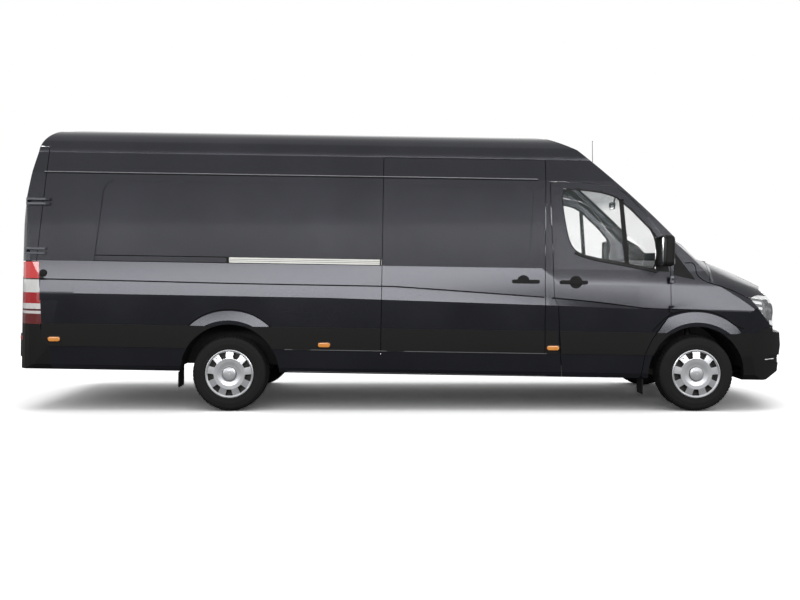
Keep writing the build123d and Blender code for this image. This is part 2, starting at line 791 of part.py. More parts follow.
with BuildPart() as side_mouldings:
    for side in (-1, 1):
        for x_low, x_high in moulding_spans[side]:
            add(moulding(x_low, x_high, side))
    add(pull_handle(slide_handle, 963, 985, -1))
    add(outer, mode=Mode.SUBTRACT)
    add(rear_arch, mode=Mode.SUBTRACT)
    add(front_arch, mode=Mode.SUBTRACT)
    add(bumper_prism(), mode=Mode.SUBTRACT)
    add(door_gap_prism.part, mode=Mode.SUBTRACT)


def door_trim(side):
    """Moulding, pull handle, corner plate and mirror of one front door."""
    with BuildPart() as trim:
        add(moulding(1300, 2300, side))
        add(side_prism(front_door_outline, -far, far), mode=Mode.INTERSECT)
        add(pull_handle(front_handle, 968, 990, side))
        add(mirror_housing(side))
        add(outer, mode=Mode.SUBTRACT)
    return trim.part


with BuildPart() as door_trim_right:
    add(door_trim(-1))
with BuildPart() as door_trim_left:
    add(door_trim(1))

rail_low_z, rail_high_z = 1338, 1386
with BuildPart() as rail_seat:
    add(outer)
    add(blank, mode=Mode.SUBTRACT)
with BuildPart() as slide_rail:
    add(slab(-1692, slide_rear_x, -962, -900, rail_low_z, rail_high_z))
    add(rail_seat.part, mode=Mode.SUBTRACT)

with BuildPart() as side_markers:
    for side in (-1, 1):
        for x in (-3270, -786, 1320):
            y_a, y_b = side * 950, side * (moulding_y + 12)
            add(slab(x - 50, x + 50, min(y_a, y_b), max(y_a, y_b), 578, 618))
    add(outer, mode=Mode.SUBTRACT)
    add(side_mouldings.part, mode=Mode.SUBTRACT)

# floor and chassis
frame_rail_y = 430
frame_rail_z = (490, 620)
front_rail_drop = 130
housing_wall = 8
housing_inner_y = 690
with BuildPart() as load_floor:
    add(lined_space)
    add(slab(-3570, post_front_x, -far, far, floor_z - floor_thickness, floor_z), mode=Mode.INTERSECT)
    for side in (-1, 1):
        y_a, y_b = side * (housing_inner_y - housing_wall), side * far
        add(
            cross_cylinder(rear_axle_x, rear_axle_z, rear_arch_radius + housing_wall + seat_gap, min(y_a, y_b), max(y_a, y_b)),
            mode=Mode.SUBTRACT,
        )

firewall_x = 2390
seat_base_z = 800
front_housing_y = 515
with BuildPart() as cab_sheets:
    add(slab(post_front_x, firewall_x, -far, far, cab_floor_z - floor_thickness, cab_floor_z))
    add(slab(firewall_x - floor_thickness, firewall_x, -far, far, cab_floor_z, 1420))
    add(slab(post_front_x, post_front_x + 20, -far, far, cab_floor_z, floor_z))
    for y_low, y_high in ((210, 690), (-720, 110)):
        add(slab(1430, 1830, y_low, y_high, cab_floor_z, seat_base_z))
with BuildPart() as cab_floor:
    add(envelope(wall + 8))
    add(cab_sheets.part, mode=Mode.INTERSECT)
    for side in (-1, 1):
        add(
            across(front_axle_x, front_axle_z, front_arch_radius + housing_wall + seat_gap, side, front_housing_y, far),
            mode=Mode.SUBTRACT,
        )


def wheel_housing(x, z, radius, y_low, y_high, closed):
    with BuildPart() as housing:
        add(cross_cylinder(x, z, radius + housing_wall, y_low - (housing_wall if closed else 0), y_high))
        add(cross_cylinder(x, z, radius, y_low, y_high + 10), mode=Mode.SUBTRACT)
        add(slab(x - 700, x + 700, y_low - 50, y_high + 50, -500, z + 60), mode=Mode.SUBTRACT)
    return housing.part


with BuildPart() as wheel_housings:
    add(wheel_housing(rear_axle_x, rear_axle_z, rear_arch_radius, housing_inner_y, 960, True))
    add(wheel_housing(front_axle_x, front_axle_z, front_arch_radius, front_housing_y, 960, False))
    mirror(about=Plane.XZ)
    add(lined_space, mode=Mode.INTERSECT)

with BuildPart() as frame_rails:
    z_low, z_high = frame_rail_z
    for side in (-1, 1):
        y = side * frame_rail_y
        add(slab(-3500, post_front_x, y - 40, y + 40, z_low, z_high))
        add(slab(post_front_x, 3480, y - 40, y + 40, z_low - front_rail_drop, z_low))
        add(slab(post_front_x - 80, post_front_x, y - 40, y + 40, z_low - front_rail_drop, z_high))
    for x in (-3480, -2700, -900, 0, 900):
        add(slab(x - 40, x + 40, -frame_rail_y, frame_rail_y, z_low + 20, z_high - 20))
    add(slab(3400, 3480, -frame_rail_y, frame_rail_y, z_low - 110, z_low))
    for x in (-2900, -400, 500):
        add(slab(x - 30, x + 30, -900, 900, z_high - 60, z_high))
    add(inner, mode=Mode.INTERSECT)

# running gear
wheel_y = track / 2
hub_end = wheel_y + hub_face - seat_gap
with BuildPart() as tyre_master:
    with BuildSketch(Plane.YZ):
        with BuildLine():
            half = tyre_width / 2
            Polyline(
                (-half + 24, tyre_bead_radius), (-half + 4, tyre_bead_radius + 14), (-half, 280), (-half + 8, 325), (-half + 26, 343),
                (-60, tyre_radius), (60, tyre_radius), (half - 26, 343), (half - 8, 325), (half, 280), (half - 4, tyre_bead_radius + 14),
                (half - 24, tyre_bead_radius), (half - 38, tyre_bead_radius), (half - 18, 240), (half - 14, 285), (half - 34, 332),
                (-half + 34, 332), (-half + 14, 285), (-half + 18, 240), (-half + 38, tyre_bead_radius), (-half + 24, tyre_bead_radius),
            )
        make_face()
    revolve(axis=Axis.Y)

with BuildPart() as wheel_master:
    with BuildSketch(Plane.YZ):
        with BuildLine():
            seat = tyre_bead_radius - seat_gap
            Polyline(
                (92, seat), (-110, seat), (-110, cover_radius), (-115, cover_radius - 1), (-118, cover_radius - 8), (-107, 203),
                (-109, 192), (-119, 142), (-117, 112), (-109, hub_radius + 16), (-109, hub_radius + 4), (-119, hub_radius),
                (-125, 48), (-128, 28), (-129, 0), (-hub_face, 0), (-hub_face, 80),
                (-hub_face + 12, 100), (-hub_face + 12, 150), (-hub_face + 20, 190), (92, 200), (92, seat),
            )
        make_face()
        with Locations((-82, 130)):
            Rectangle(36, 116, mode=Mode.SUBTRACT)
    revolve(axis=Axis.Y)
    with BuildSketch(Plane.XZ.offset(200)) as wheel_windows:
        with PolarLocations(window_ring_radius, cover_windows, start_angle=30):
            Trapezoid(72, 58, 75, rotation=90)
        fillet(wheel_windows.vertices(), 7)
    extrude(amount=-120, mode=Mode.SUBTRACT)


def placed(master, x, z, side):
    """The master has its outer face towards -y, and is turned round for the left side."""
    turn = 0 if side < 0 else 180
    return master.rotate(Axis.Z, turn).moved(Location((x, side * wheel_y, z)))


wheel_places = {
    "front_right": (front_axle_x, front_axle_z, -1),
    "front_left": (front_axle_x, front_axle_z, 1),
    "rear_right": (rear_axle_x, rear_axle_z, -1),
    "rear_left": (rear_axle_x, rear_axle_z, 1),
}

shaft_start = Vector(rear_axle_x + 220, 0, rear_axle_z + 8)
shaft_end = Vector(1849, 0, 370)
shaft_way = (shaft_end - shaft_start).normalized()
axle_tube_radius = 48
with BuildPart() as rear_axle:
    add(cross_cylinder(rear_axle_x, rear_axle_z, axle_tube_radius, -hub_end, hub_end))
    with Locations((rear_axle_x, 0, rear_axle_z)):
        Sphere(155)
    add(rod(shaft_start - shaft_way * 120, shaft_start, 62))
    for side in (-1, 1):
        add(across(rear_axle_x, rear_axle_z, brake_disc_radius, side, wheel_y - 40, wheel_y + 10))

spring_y = 560
with BuildPart() as leaf_springs:
    with BuildSketch(Plane.XZ.offset(-spring_y - 35)):
        with BuildLine():
            ThreePointArc((rear_axle_x - 700, 470), (rear_axle_x, rear_axle_z + 50), (rear_axle_x + 700, 470))
            Line((rear_axle_x + 700, 470), (rear_axle_x + 700, 500))
            ThreePointArc((rear_axle_x + 700, 500), (rear_axle_x, rear_axle_z + 85), (rear_axle_x - 700, 500))
            Line((rear_axle_x - 700, 500), (rear_axle_x - 700, 470))
        make_face()
    extrude(amount=70)
    for x in (rear_axle_x - 700, rear_axle_x + 700):
        add(slab(x - 25, x + 25, spring_y - 35, spring_y + 35, 470, 620))
    add(
        slab(
            rear_axle_x - 60, rear_axle_x + 60, spring_y - 35, spring_y + 35,
            rear_axle_z + axle_tube_radius + seat_gap, rear_axle_z + 92,
        )
    )
    mirror(about=Plane.XZ)

arm_low_z = ball_z - 32
engine_low_z = 420
with BuildPart() as chassis_frame:
    add(frame_rails.part)
    add(slab(front_axle_x - 110, front_axle_x + 110, -380, 380, arm_low_z, arm_low_z + 90))
    for side in (-1, 1):
        add(plan_prism([(front_axle_x + x, side * y) for x, y in ((-70, 375), (70, 375), (26, ball_y - 12), (-26, ball_y - 12))], arm_low_z, ball_z))
        add(rod((front_axle_x, side * ball_y, arm_low_z), (front_axle_x, side * ball_y, ball_z), ball_radius))
        with Locations((front_axle_x, side * ball_y, ball_z)):
            Sphere(ball_radius)
        add(
            block(
                front_axle_x - 60, front_axle_x + 60, side, frame_rail_y - 40, frame_rail_y + 40,
                ball_z, frame_rail_z[0] - front_rail_drop,
            )
        )
        add(block(front_axle_x - 60, front_axle_x + 60, side, 150, 290, arm_low_z + 90, engine_low_z))


def knuckle(side):
    """Upright, hub spindle, steering arm and strut, turning about the line from ball to strut top."""
    upright_low_z = ball_z + ball_radius + seat_gap
    strut_top_z = front_axle_z + front_arch_radius - 9
    with BuildPart() as upright:
        add(slab(front_axle_x - 45, front_axle_x + 45, 752, ball_y + 25, upright_low_z, front_axle_z + 110))
        add(cross_cylinder(front_axle_x, front_axle_z, 55, ball_y, hub_end))
        add(slab(front_axle_x - 165, front_axle_x - 40, 752, 782, front_axle_z - 20, front_axle_z + 20))
        add(cross_cylinder(front_axle_x, front_axle_z, brake_disc_radius, ball_y + 42, ball_y + 42 + brake_disc_thickness))
        add(slab(front_axle_x - 35, front_axle_x + 35, 682, 752, front_axle_z + 60, front_axle_z + 110))
        add(rod((front_axle_x, 702, front_axle_z + 70), (front_axle_x, strut_top_y, strut_top_z), strut_radius))
        if side < 0:
            mirror(about=Plane.XZ, mode=Mode.REPLACE)
    return upright.part


with BuildPart() as knuckle_right:
    add(knuckle(-1))
with BuildPart() as knuckle_left:
    add(knuckle(1))

with BuildPart() as engine_block:
    add(slab(2450, 3150, -290, 290, engine_low_z, 1080))
    add(slab(1850, 2450, -170, 170, 260, cab_floor_z - floor_thickness - 10))

with BuildPart() as drive_shaft:
    add(rod(shaft_start + shaft_way * seat_gap, shaft_end, 42))

with BuildPart() as fuel_tank:
    add(slab(50, 850, 490, 890, 330, frame_rail_z[1] - 60))

# cabin
seat_side = [(1400, 800), (1880, 800), (1900, 920), (1540, 900), (1450, 1560), (1330, 1560)]


def seat(y_low, y_high):
    with BuildPart() as pad:
        add(side_prism([(1420, 800), (1900, 800), (1910, 925), (1540, 905), (1455, 1560), (1345, 1560)], y_low, y_high))
    return pad.part


with BuildPart() as driver_seat:
    add(seat(200, 700))
    add(slab(1350, 1440, 330, 570, 1560, 1790))

with BuildPart() as passenger_seats:
    add(seat(-730, 120))
    add(slab(1350, 1440, -620, -400, 1560, 1790))
    add(slab(1350, 1440, -210, 10, 1560, 1790))

with BuildPart() as dashboard:
    add(envelope(wall + 10))
    add(side_prism([(2050, 1080), (2080, 1280), (2360, 1370), (2360, 900), (2150, 900)], -far, far), mode=Mode.INTERSECT)

wheel_centre = (1960, 450, 1190)
with BuildPart() as steering_wheel:
    with BuildSketch(Plane(origin=wheel_centre, x_dir=(0, 1, 0), z_dir=(-0.82, 0, 0.57))):
        Circle(200)
        Circle(172, mode=Mode.SUBTRACT)
    extrude(amount=26)
    with BuildSketch(Plane(origin=wheel_centre, x_dir=(0, 1, 0), z_dir=(-0.82, 0, 0.57))):
        Rectangle(350, 50)
        Circle(60)
    extrude(amount=20)
    add(rod((1958, 450, 1191), (2110, 450, 1085), 34))
    add(dashboard.part, mode=Mode.SUBTRACT)

# rubber flaps behind the wheels
with BuildPart() as mud_flaps:
    for x, top in ((-2140, floor_z - floor_thickness), (2168, cab_floor_z - floor_thickness)):
        add(slab(x, x + 10, 760, 950, 170, sill_z - panel_gap))
        add(slab(x, x + 10, 760, 866, sill_z - panel_gap, top))
    mirror(about=Plane.XZ)

pieces = {
    "side_wall_right": side_wall_right,
    "side_wall_left": side_wall_left,
    "sliding_door": sliding_door,
    "roof": roof,
    "cab_frame": cab_frame,
    "windscreen": windscreen,
    "front_fenders": front_fenders,
    "bonnet": bonnet,
    "front_bumper": front_bumper,
    "grille": grille,
    "headlamps": headlamps,
    "tail_lamps": tail_lamps,
    "rear_bumper": rear_bumper,
    "rear_door_right": rear_door_right,
    "rear_door_left": rear_door_left,
    "front_door_right": front_door_right,
    "front_door_left": front_door_left,
    "door_glass_right": door_glass_right,
    "door_glass_left": door_glass_left,
    "side_mouldings": side_mouldings,
    "door_trim_right": door_trim_right,
    "door_trim_left": door_trim_left,
    "slide_rail": slide_rail,
    "side_markers": side_markers,
    "load_floor": load_floor,
    "cab_floor": cab_floor,
    "wheel_housings": wheel_housings,
    "rear_axle": rear_axle,
    "leaf_springs": leaf_springs,
    "chassis_frame": chassis_frame,
    "knuckle_right": knuckle_right,
    "knuckle_left": knuckle_left,
    "engine_block": engine_block,
    "drive_shaft": drive_shaft,
    "fuel_tank": fuel_tank,
    "driver_seat": driver_seat,
    "passenger_seats": passenger_seats,
    "dashboard": dashboard,
    "steering_wheel": steering_wheel,
    "mud_flaps": mud_flaps,
}
for name, (x, z, side) in wheel_places.items():
    for kind, master in (("tyre", tyre_master), ("wheel", wheel_master)):
        with BuildPart() as piece:
            add(placed(master.part, x, z, side))
        pieces[kind + "_" + name] = piece

# stand the van on its tyres: raked nose-down, lifted to the ground, and centred lengthwise
raked = {name: piece.part.rotate(Axis.Y, rake) for name, piece in pieces.items()}
tail_x = min(part.bounding_box().min.X for part in raked.values())
front_x = max(part.bounding_box().max.X for part in raked.values())
middle = (tail_x + front_x) / 2
for name, part in raked.items():
    with BuildPart() as finished:
        add(part.moved(Location((-middle, 0, ride))))
    finished.part.label = name
    export_step(finished.part, f"parts/{name}.step")
print("lengthwise shift", -middle, "axle heights", rear_axle_z, front_axle_z)
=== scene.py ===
import math

import bmesh
import bpy
import numpy as np
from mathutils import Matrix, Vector
from mathutils.bvhtree import BVHTree


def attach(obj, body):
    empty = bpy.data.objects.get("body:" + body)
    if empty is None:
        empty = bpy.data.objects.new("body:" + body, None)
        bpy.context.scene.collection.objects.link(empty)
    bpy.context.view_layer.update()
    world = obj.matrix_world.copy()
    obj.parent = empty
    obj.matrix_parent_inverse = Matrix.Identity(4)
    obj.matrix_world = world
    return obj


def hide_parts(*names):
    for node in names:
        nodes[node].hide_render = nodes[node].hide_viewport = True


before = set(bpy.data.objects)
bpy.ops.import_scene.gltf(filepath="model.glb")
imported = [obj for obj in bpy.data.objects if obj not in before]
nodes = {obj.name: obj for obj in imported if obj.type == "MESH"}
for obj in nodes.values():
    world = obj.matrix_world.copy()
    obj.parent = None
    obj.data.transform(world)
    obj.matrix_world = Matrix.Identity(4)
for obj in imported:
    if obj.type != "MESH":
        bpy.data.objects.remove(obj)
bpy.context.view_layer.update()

# the drawing is level, in millimetres; the van stands a little nose down on its wheels
stance = {"rake": 0.9, "shift": -3.825, "lift": 14.6}
axles = {"rear": -1662.0, "front": 2663.0, "halfTrack": 856.5, "tyreRadius": 348.0}
sides = {"right": -1, "left": 1}


def placed(x, y, z):
    # drawing to metres: turned by the rake about Y, then shifted
    turn = math.radians(stance["rake"])
    x, y, z = np.broadcast_arrays(*(np.asarray(v, float) for v in (x, y, z)))
    across = x * math.cos(turn) + z * math.sin(turn) + stance["shift"]
    return np.stack([across, y, z * math.cos(turn) - x * math.sin(turn) + stance["lift"]], -1) / 1000


def axlePlace(end):
    # middle of an axle in metres, its height such that the tyre stands on the floor
    turn = math.radians(stance["rake"])
    height = (axles["tyreRadius"] - stance["lift"] + axles[end] * math.sin(turn)) / math.cos(turn)
    return placed(axles[end], 0, height)


# ---- shader helpers

class Socket:
    # one socket of a shader, so that its maths reads as ordinary sums
    def __init__(self, paint, socket):
        self.paint = paint
        self.socket = socket

    def sum(self, operation, first, second=0.0, clamp=False):
        made = self.paint.add("Math", {"operation": operation, "use_clamp": clamp}, {0: first, 1: second})
        return made(0)

    def __add__(self, other):
        return self.sum("ADD", self, other)

    def __radd__(self, other):
        return self.sum("ADD", other, self)

    def __sub__(self, other):
        return self.sum("SUBTRACT", self, other)

    def __rsub__(self, other):
        return self.sum("SUBTRACT", other, self)

    def __mul__(self, other):
        return self.sum("MULTIPLY", self, other)

    def __truediv__(self, other):
        return self.sum("DIVIDE", self, other)

    def __lt__(self, other):
        return self.sum("LESS_THAN", self, other)

    def __pow__(self, other):
        return self.sum("POWER", self, other)

    def __abs__(self):
        return self.sum("ABSOLUTE", self)

    def clamped(self):
        return self.sum("ADD", self, 0.0, True)

    def larger(self, other):
        return self.sum("MAXIMUM", self, other)

    def wave(self):
        return self.sum("SINE", self)

    def exp(self):
        return self.sum("EXPONENT", self)


class Paint:
    # a material or world under construction
    def __init__(self, name, owner=None):
        self.block = owner or bpy.data.materials.new(name)
        self.block.use_nodes = True
        self.tree = self.block.node_tree
        self.tree.nodes.clear()

    def add(self, kind, settings=None, values=None):
        # a node by its type, its settings, then the values or links of its sockets
        node = self.tree.nodes.new("ShaderNode" + kind)
        for key, value in (settings or {}).items():
            setattr(node, key, value)
        for key, value in (values or {}).items():
            socket = node.inputs[key]
            if isinstance(value, Socket):
                self.tree.links.new(value.socket, socket)
            else:
                socket.default_value = value
        return lambda out=0: Socket(self, node.outputs[out])

    def place(self):
        return self.add("TexCoord")("Object")

    def axes(self):
        made = self.add("SeparateXYZ", None, {0: self.place()})
        return made("X"), made("Y"), made("Z")

    def noise(self, scale, detail=3.0, rough=0.5, stretch=None):
        place = self.place()
        if stretch:
            place = self.add("Mapping", None, {"Vector": place, "Scale": stretch})(0)
        values = {"Vector": place, "Scale": scale, "Detail": detail, "Roughness": rough}
        return self.add("TexNoise", None, values)(0)

    def cells(self, scale, out="Distance"):
        return self.add("TexVoronoi", None, {"Vector": self.place(), "Scale": scale})(out)

    def blend(self, share, first, second, kind="MIX"):
        made = self.add("Mix", {"data_type": "RGBA", "blend_type": kind}, {0: share, 6: first, 7: second})
        return made(2)

    def bump(self, height, strength, distance):
        return self.add("Bump", None, {"Height": height, "Strength": strength, "Distance": distance})(0)

    def surface(self, **values):
        named = {key.replace("_", " "): value for key, value in values.items()}
        shader = self.add("BsdfPrincipled", None, named)
        return self.finish(shader(0))

    def finish(self, shader):
        out = self.tree.nodes.new("ShaderNodeOutputMaterial")
        self.tree.links.new(shader.socket, out.inputs[0])
        return self.block


def shade(r, g=None, b=None):
    return (r, r if g is None else g, r if b is None else b, 1.0)


# ---- camera, floor and light

# the picture is 800 by 600; a level camera looks across the van, its horizon above the middle row
camera = {
    "place": (-0.0792, -8.950, 1.3745), "focalPixels": 861.6, "horizonRow": 263.0,
    "film": 36.0, "reach": 300.0,
}
picture = {"width": 800.0, "height": 600.0}

lens = bpy.data.cameras.new("camera")
lens.sensor_width = camera["film"]
lens.lens = camera["focalPixels"] * camera["film"] / picture["width"]
lens.shift_y = -(picture["height"] / 2 - camera["horizonRow"]) / picture["width"]
lens.clip_end = camera["reach"]
cameraPiece = bpy.data.objects.new("camera", lens)
cameraPiece.location = camera["place"]
cameraPiece.rotation_euler = (math.radians(90.0), 0.0, 0.0)
bpy.context.scene.collection.objects.link(cameraPiece)
bpy.context.scene.camera = cameraPiece
bpy.context.scene.view_settings.view_transform = "Standard"

# how strongly the white sky lights the van, and the floor's shade as light sees it and as the eye does
studio = {"skyLight": 0.22, "floorColor": 0.7, "floorSeen": 4.7, "floorHalf": 90.0}

world = bpy.data.worlds.new("studio")
bpy.context.scene.world = world
sky = Paint("studio", world)
rays = sky.add("LightPath")
seen = (rays("Is Camera Ray") + rays("Is Glossy Ray") + rays("Is Transmission Ray")).clamped()
strength = seen * (1.0 - studio["skyLight"]) + studio["skyLight"]
background = sky.add("Background", None, {"Color": shade(1), "Strength": strength})
outWorld = sky.tree.nodes.new("ShaderNodeOutputWorld")
sky.tree.links.new(background(0).socket, outWorld.inputs[0])

half = studio["floorHalf"]
floorMesh = bpy.data.meshes.new("floor")
floorCorners = [(-half, -half, 0), (half, -half, 0), (half, half, 0), (-half, half, 0)]
floorMesh.from_pydata(floorCorners, [], [(0, 1, 2, 3)])
floorPiece = bpy.data.objects.new("floor", floorMesh)
bpy.context.scene.collection.objects.link(floorPiece)
floorPaint = Paint("floor")
floorRays = floorPaint.add("LightPath")
floorSeen = (floorRays("Is Camera Ray") + floorRays("Is Transmission Ray")).clamped()
floorShade = floorPaint.blend(floorSeen, shade(studio["floorColor"]), shade(studio["floorSeen"]))
floorPaint.finish(floorPaint.add("BsdfDiffuse", None, {"Color": floorShade})(0))
floorMesh.materials.append(floorPaint.block)

# each lamp: where it hangs, what it faces, its size, its power and how far its light spreads, in degrees
lamps = {
    "ceiling": ((0.5, 0.0, 6.5), (0.5, 0.0, 1.0), (14.0, 6.0), 120.0, 180.0),
    "rightStrip": ((0.0, -5.2, 2.08), (0.0, 0.0, 2.08), (14.0, 0.74), 170.0, 120.0),
    "leftStrip": ((0.0, 5.2, 2.08), (0.0, 0.0, 2.08), (14.0, 0.74), 170.0, 120.0),
    "bonnet": ((6.8, 4.5, 5.2), (3.0, 0.0, 1.2), (4.0, 3.0), 34.0, 120.0),
    "nose": ((8.5, -1.0, 3.4), (2.5, 0.0, 1.0), (5.0, 2.4), 40.0, 150.0),
    "tail": ((-8.5, 0.0, 3.0), (-2.5, 0.0, 1.2), (4.0, 1.0), 34.0, 120.0),
}

# all lamps but the ceiling only draw highlights on the body, so the floor takes no light from them
notFloor = bpy.data.collections.new("notFloor")
notFloor.objects.link(floorPiece)
notFloor.collection_objects[0].light_linking.link_state = "EXCLUDE"


def softbox(name, place, aim, size, power, spread):
    lamp = bpy.data.lights.new(name, "AREA")
    lamp.spread = math.radians(spread)
    lamp.shape = "RECTANGLE"
    lamp.size = size[0]
    lamp.size_y = size[1]
    lamp.energy = power
    piece = bpy.data.objects.new(name, lamp)
    piece.location = place
    piece.rotation_euler = (Vector(aim) - Vector(place)).to_track_quat("-Z", "Y").to_euler()
    bpy.context.scene.collection.objects.link(piece)
    if name != "ceiling":
        piece.light_linking.receiver_collection = notFloor


for name, settings in lamps.items():
    softbox(name, *settings)
print("camera, floor and light are set")

# ---- shape helpers

def unit(rows):
    # each row over its own length
    return rows / np.maximum(np.linalg.norm(rows, axis=-1, keepdims=True), 1e-12)


def net(points, closeRows=False, closeColumns=False):
    # faces between neighbours of a grid of points
    rows, columns = points.shape[:2]
    wantedRows = np.arange(rows if closeRows else rows - 1)
    wantedColumns = np.arange(columns if closeColumns else columns - 1)
    row, column = np.meshgrid(wantedRows, wantedColumns, indexing="ij")
    nextRow, nextColumn = (row + 1) % rows * columns, (column + 1) % columns
    row = row * columns
    quads = np.stack([row + column, nextRow + column, nextRow + nextColumn, row + nextColumn], -1)
    return points.reshape(-1, 3), quads.reshape(-1, 4).tolist()


def carried(path, profile, up=(0, 0, 1), closed=False):
    # a closed profile carried along a path: its first value goes to the side, its second along up
    path, profile = np.asarray(path, float), np.asarray(profile, float)
    along = unit(np.roll(path, -1, 0) - np.roll(path, 1, 0)) if closed else unit(np.gradient(path, axis=0))
    side = unit(np.cross(along, np.broadcast_to(up, path.shape)))
    rise = np.cross(side, along)
    points = path[:, None] + profile[None, :, :1] * side[:, None] + profile[None, :, 1:] * rise[:, None]
    spots, faces = net(points, closed, True)
    if not closed:
        count, last = len(profile), (len(path) - 1) * len(profile)
        faces += [list(range(count))[::-1], [last + k for k in range(count)]]
    return spots, faces


def turned(centre, axis, profile, steps=48):
    # a profile of (distance along the axis, radius) turned about the axis through the centre
    axis = unit(np.asarray(axis, float))
    first = unit(np.cross(axis, (0.0, 0.0, 1.0) if abs(axis[2]) < 0.9 else (1.0, 0.0, 0.0)))
    second = np.cross(axis, first)
    angle = np.linspace(0, 2 * math.pi, steps, endpoint=False)[:, None, None]
    profile = np.asarray(profile, float)
    ring = np.cos(angle) * first + np.sin(angle) * second
    return net(np.asarray(centre) + profile[None, :, :1] * axis + profile[None, :, 1:] * ring, True)


def roundBar(radius, steps=12):
    # a circle's outline: radius times the cosine and sine of each angle
    angle = np.linspace(0, 2 * math.pi, steps, endpoint=False)
    return np.stack([radius * np.cos(angle), radius * np.sin(angle)], -1)


def softBox(width, height, radius, steps=4):
    # a rectangle's outline with quarter circles at its corners
    angle = np.linspace(0, math.pi / 2, steps)
    corners = [(1, 1, 0), (-1, 1, 1), (-1, -1, 2), (1, -1, 3)]
    wide, high = width / 2 - radius, height / 2 - radius
    quarters = []
    for a, b, k in corners:
        turn = angle + k * math.pi / 2
        quarters.append(np.stack([a * wide + radius * np.cos(turn), b * high + radius * np.sin(turn)], -1))
    return np.concatenate(quarters)


def smooth(points, rounds=3, closed=False):
    # corner cutting: each side keeps its points at a quarter and three quarters
    points = np.asarray(points, float)
    for _ in range(rounds):
        ahead = np.roll(points, -1, 0) if closed else points[1:]
        here = points if closed else points[:-1]
        cut = np.stack([0.75 * here + 0.25 * ahead, 0.25 * here + 0.75 * ahead], 1)
        cut = cut.reshape(-1, points.shape[-1])
        points = cut if closed else np.concatenate([points[:1], cut, points[-1:]])
    return points


def even(points, count):
    # the same line with evenly spaced points
    points = np.asarray(points, float)
    far = np.concatenate([[0], np.cumsum(np.linalg.norm(np.diff(points, axis=0), axis=1))])
    want = np.linspace(0, far[-1], count)
    return np.stack([np.interp(want, far, points[:, k]) for k in range(points.shape[1])], -1)


def meshOf(name, parts):
    # one mesh from several sets of points and faces, its doubles merged and its faces turned outwards
    spots, faces, base = [], [], 0
    for points, quads in parts:
        spots.append(np.asarray(points, float).reshape(-1, 3))
        faces += [[base + k for k in face] for face in quads]
        base += len(spots[-1])
    mesh = bpy.data.meshes.new(name)
    mesh.from_pydata(np.concatenate(spots).tolist(), [], faces)
    work = bmesh.new()
    work.from_mesh(mesh)
    bmesh.ops.remove_doubles(work, verts=work.verts, dist=1e-6)
    bmesh.ops.recalc_face_normals(work, faces=work.faces)
    work.to_mesh(mesh)
    work.free()
    mesh.shade_smooth()
    mesh.set_sharp_from_angle(angle=math.radians(35))
    return mesh


def addPiece(name, parts, finish, body="body", replaces=()):
    # a named piece in its finish, carried by one body of the van
    piece = bpy.data.objects.new(name, meshOf(name, parts))
    bpy.context.scene.collection.objects.link(piece)
    piece.data.materials.append(finish)
    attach(piece, body)
    if replaces:
        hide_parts(*replaces)
    return piece


def treeOf(*names):
    # the surface of some nodes, for finding where a line of sight meets the body
    spots, faces = [], []
    for name in names:
        mesh = nodes[name].data
        base = len(spots)
        spots += [v.co[:] for v in mesh.vertices]
        faces += [[base + k for k in p.vertices] for p in mesh.polygons]
    return BVHTree.FromPolygons(spots, faces)


outside = (
    "side_wall_right", "side_wall_left", "sliding_door", "roof", "cab_frame", "front_fenders", "bonnet",
    "rear_door_right", "rear_door_left", "front_door_right", "front_door_left", "front_bumper", "rear_bumper",
    "headlamps", "grille", "tail_lamps", "windscreen", "door_glass_right", "door_glass_left",
    "side_mouldings", "slide_rail",
)
skin = treeOf(*[name for name in nodes if name in outside])
skinReach = 12.0  # metres that a line of sight runs before it counts as a miss


def meet(starts, way, lift=0.0):
    # where rays along one way meet the body, lifted back by some millimetres; a ray that misses takes the
    # distance between its neighbours'
    starts = np.asarray(starts, float).reshape(-1, 3)
    far = np.array([skin.ray_cast(Vector(s), Vector(way), skinReach)[3] or np.nan for s in starts])
    good = ~np.isnan(far)
    if not good.any():
        print("missed", starts[0].tolist())
        return starts
    far = np.interp(np.arange(len(far)), np.flatnonzero(good), far[good])
    return starts + (far[:, None] - lift / 1000) * np.asarray(way, float)


# each of these drops places of the drawing onto the body from outside: flank, nose, tail or top

def onFlank(x, z, side, lift=0.0):
    starts = placed(x, 0, z).reshape(-1, 3)
    starts[:, 1] = sides[side] * 3.0
    return meet(starts, (0, -sides[side], 0), lift)


forward = placed(1000, 0, 0) - placed(0, 0, 0)
upward = placed(0, 0, 1000) - placed(0, 0, 0)


def onNose(y, z, lift=0.0):
    return meet(placed(5000, y, z).reshape(-1, 3), -forward, lift)


def onTail(y, z, lift=0.0):
    return meet(placed(-5000, y, z).reshape(-1, 3), forward, lift)


def onTop(x, y, lift=0.0):
    return meet(placed(x, y, 4000).reshape(-1, 3), -upward, lift)


def outOf(side):
    # the way out of the van on one side
    return (0.0, float(sides[side]), 0.0)


def plate(corners, side, thick, lift=0.0, rows=10, columns=14):
    # a thin plate that lies on the flank between four corners, blended both ways, with its own edge
    a, b, c, d = (np.asarray(corner, float) for corner in corners)
    s, t = np.meshgrid(np.linspace(0, 1, rows), np.linspace(0, 1, columns), indexing="ij")
    s, t = s[..., None], t[..., None]
    flat = (1 - s) * ((1 - t) * a + t * b) + s * ((1 - t) * d + t * c)
    inner = onFlank(flat[..., 0].ravel(), flat[..., 1].ravel(), side, lift).reshape(rows, columns, 3)
    outer = inner + np.array(outOf(side)) * thick / 1000
    return shell(inner, outer)


def ridge(width, proud, foot=-1.5):
    # the section of a rounded strip: width across, proud outwards, its foot sunk a little below the surface
    w, p = width / 2000, proud / 1000
    right = [(w * 0.55, p), (w, p * 0.55), (w, foot / 1000)]
    return np.array([(-side, rise) for side, rise in right[::-1]] + right)


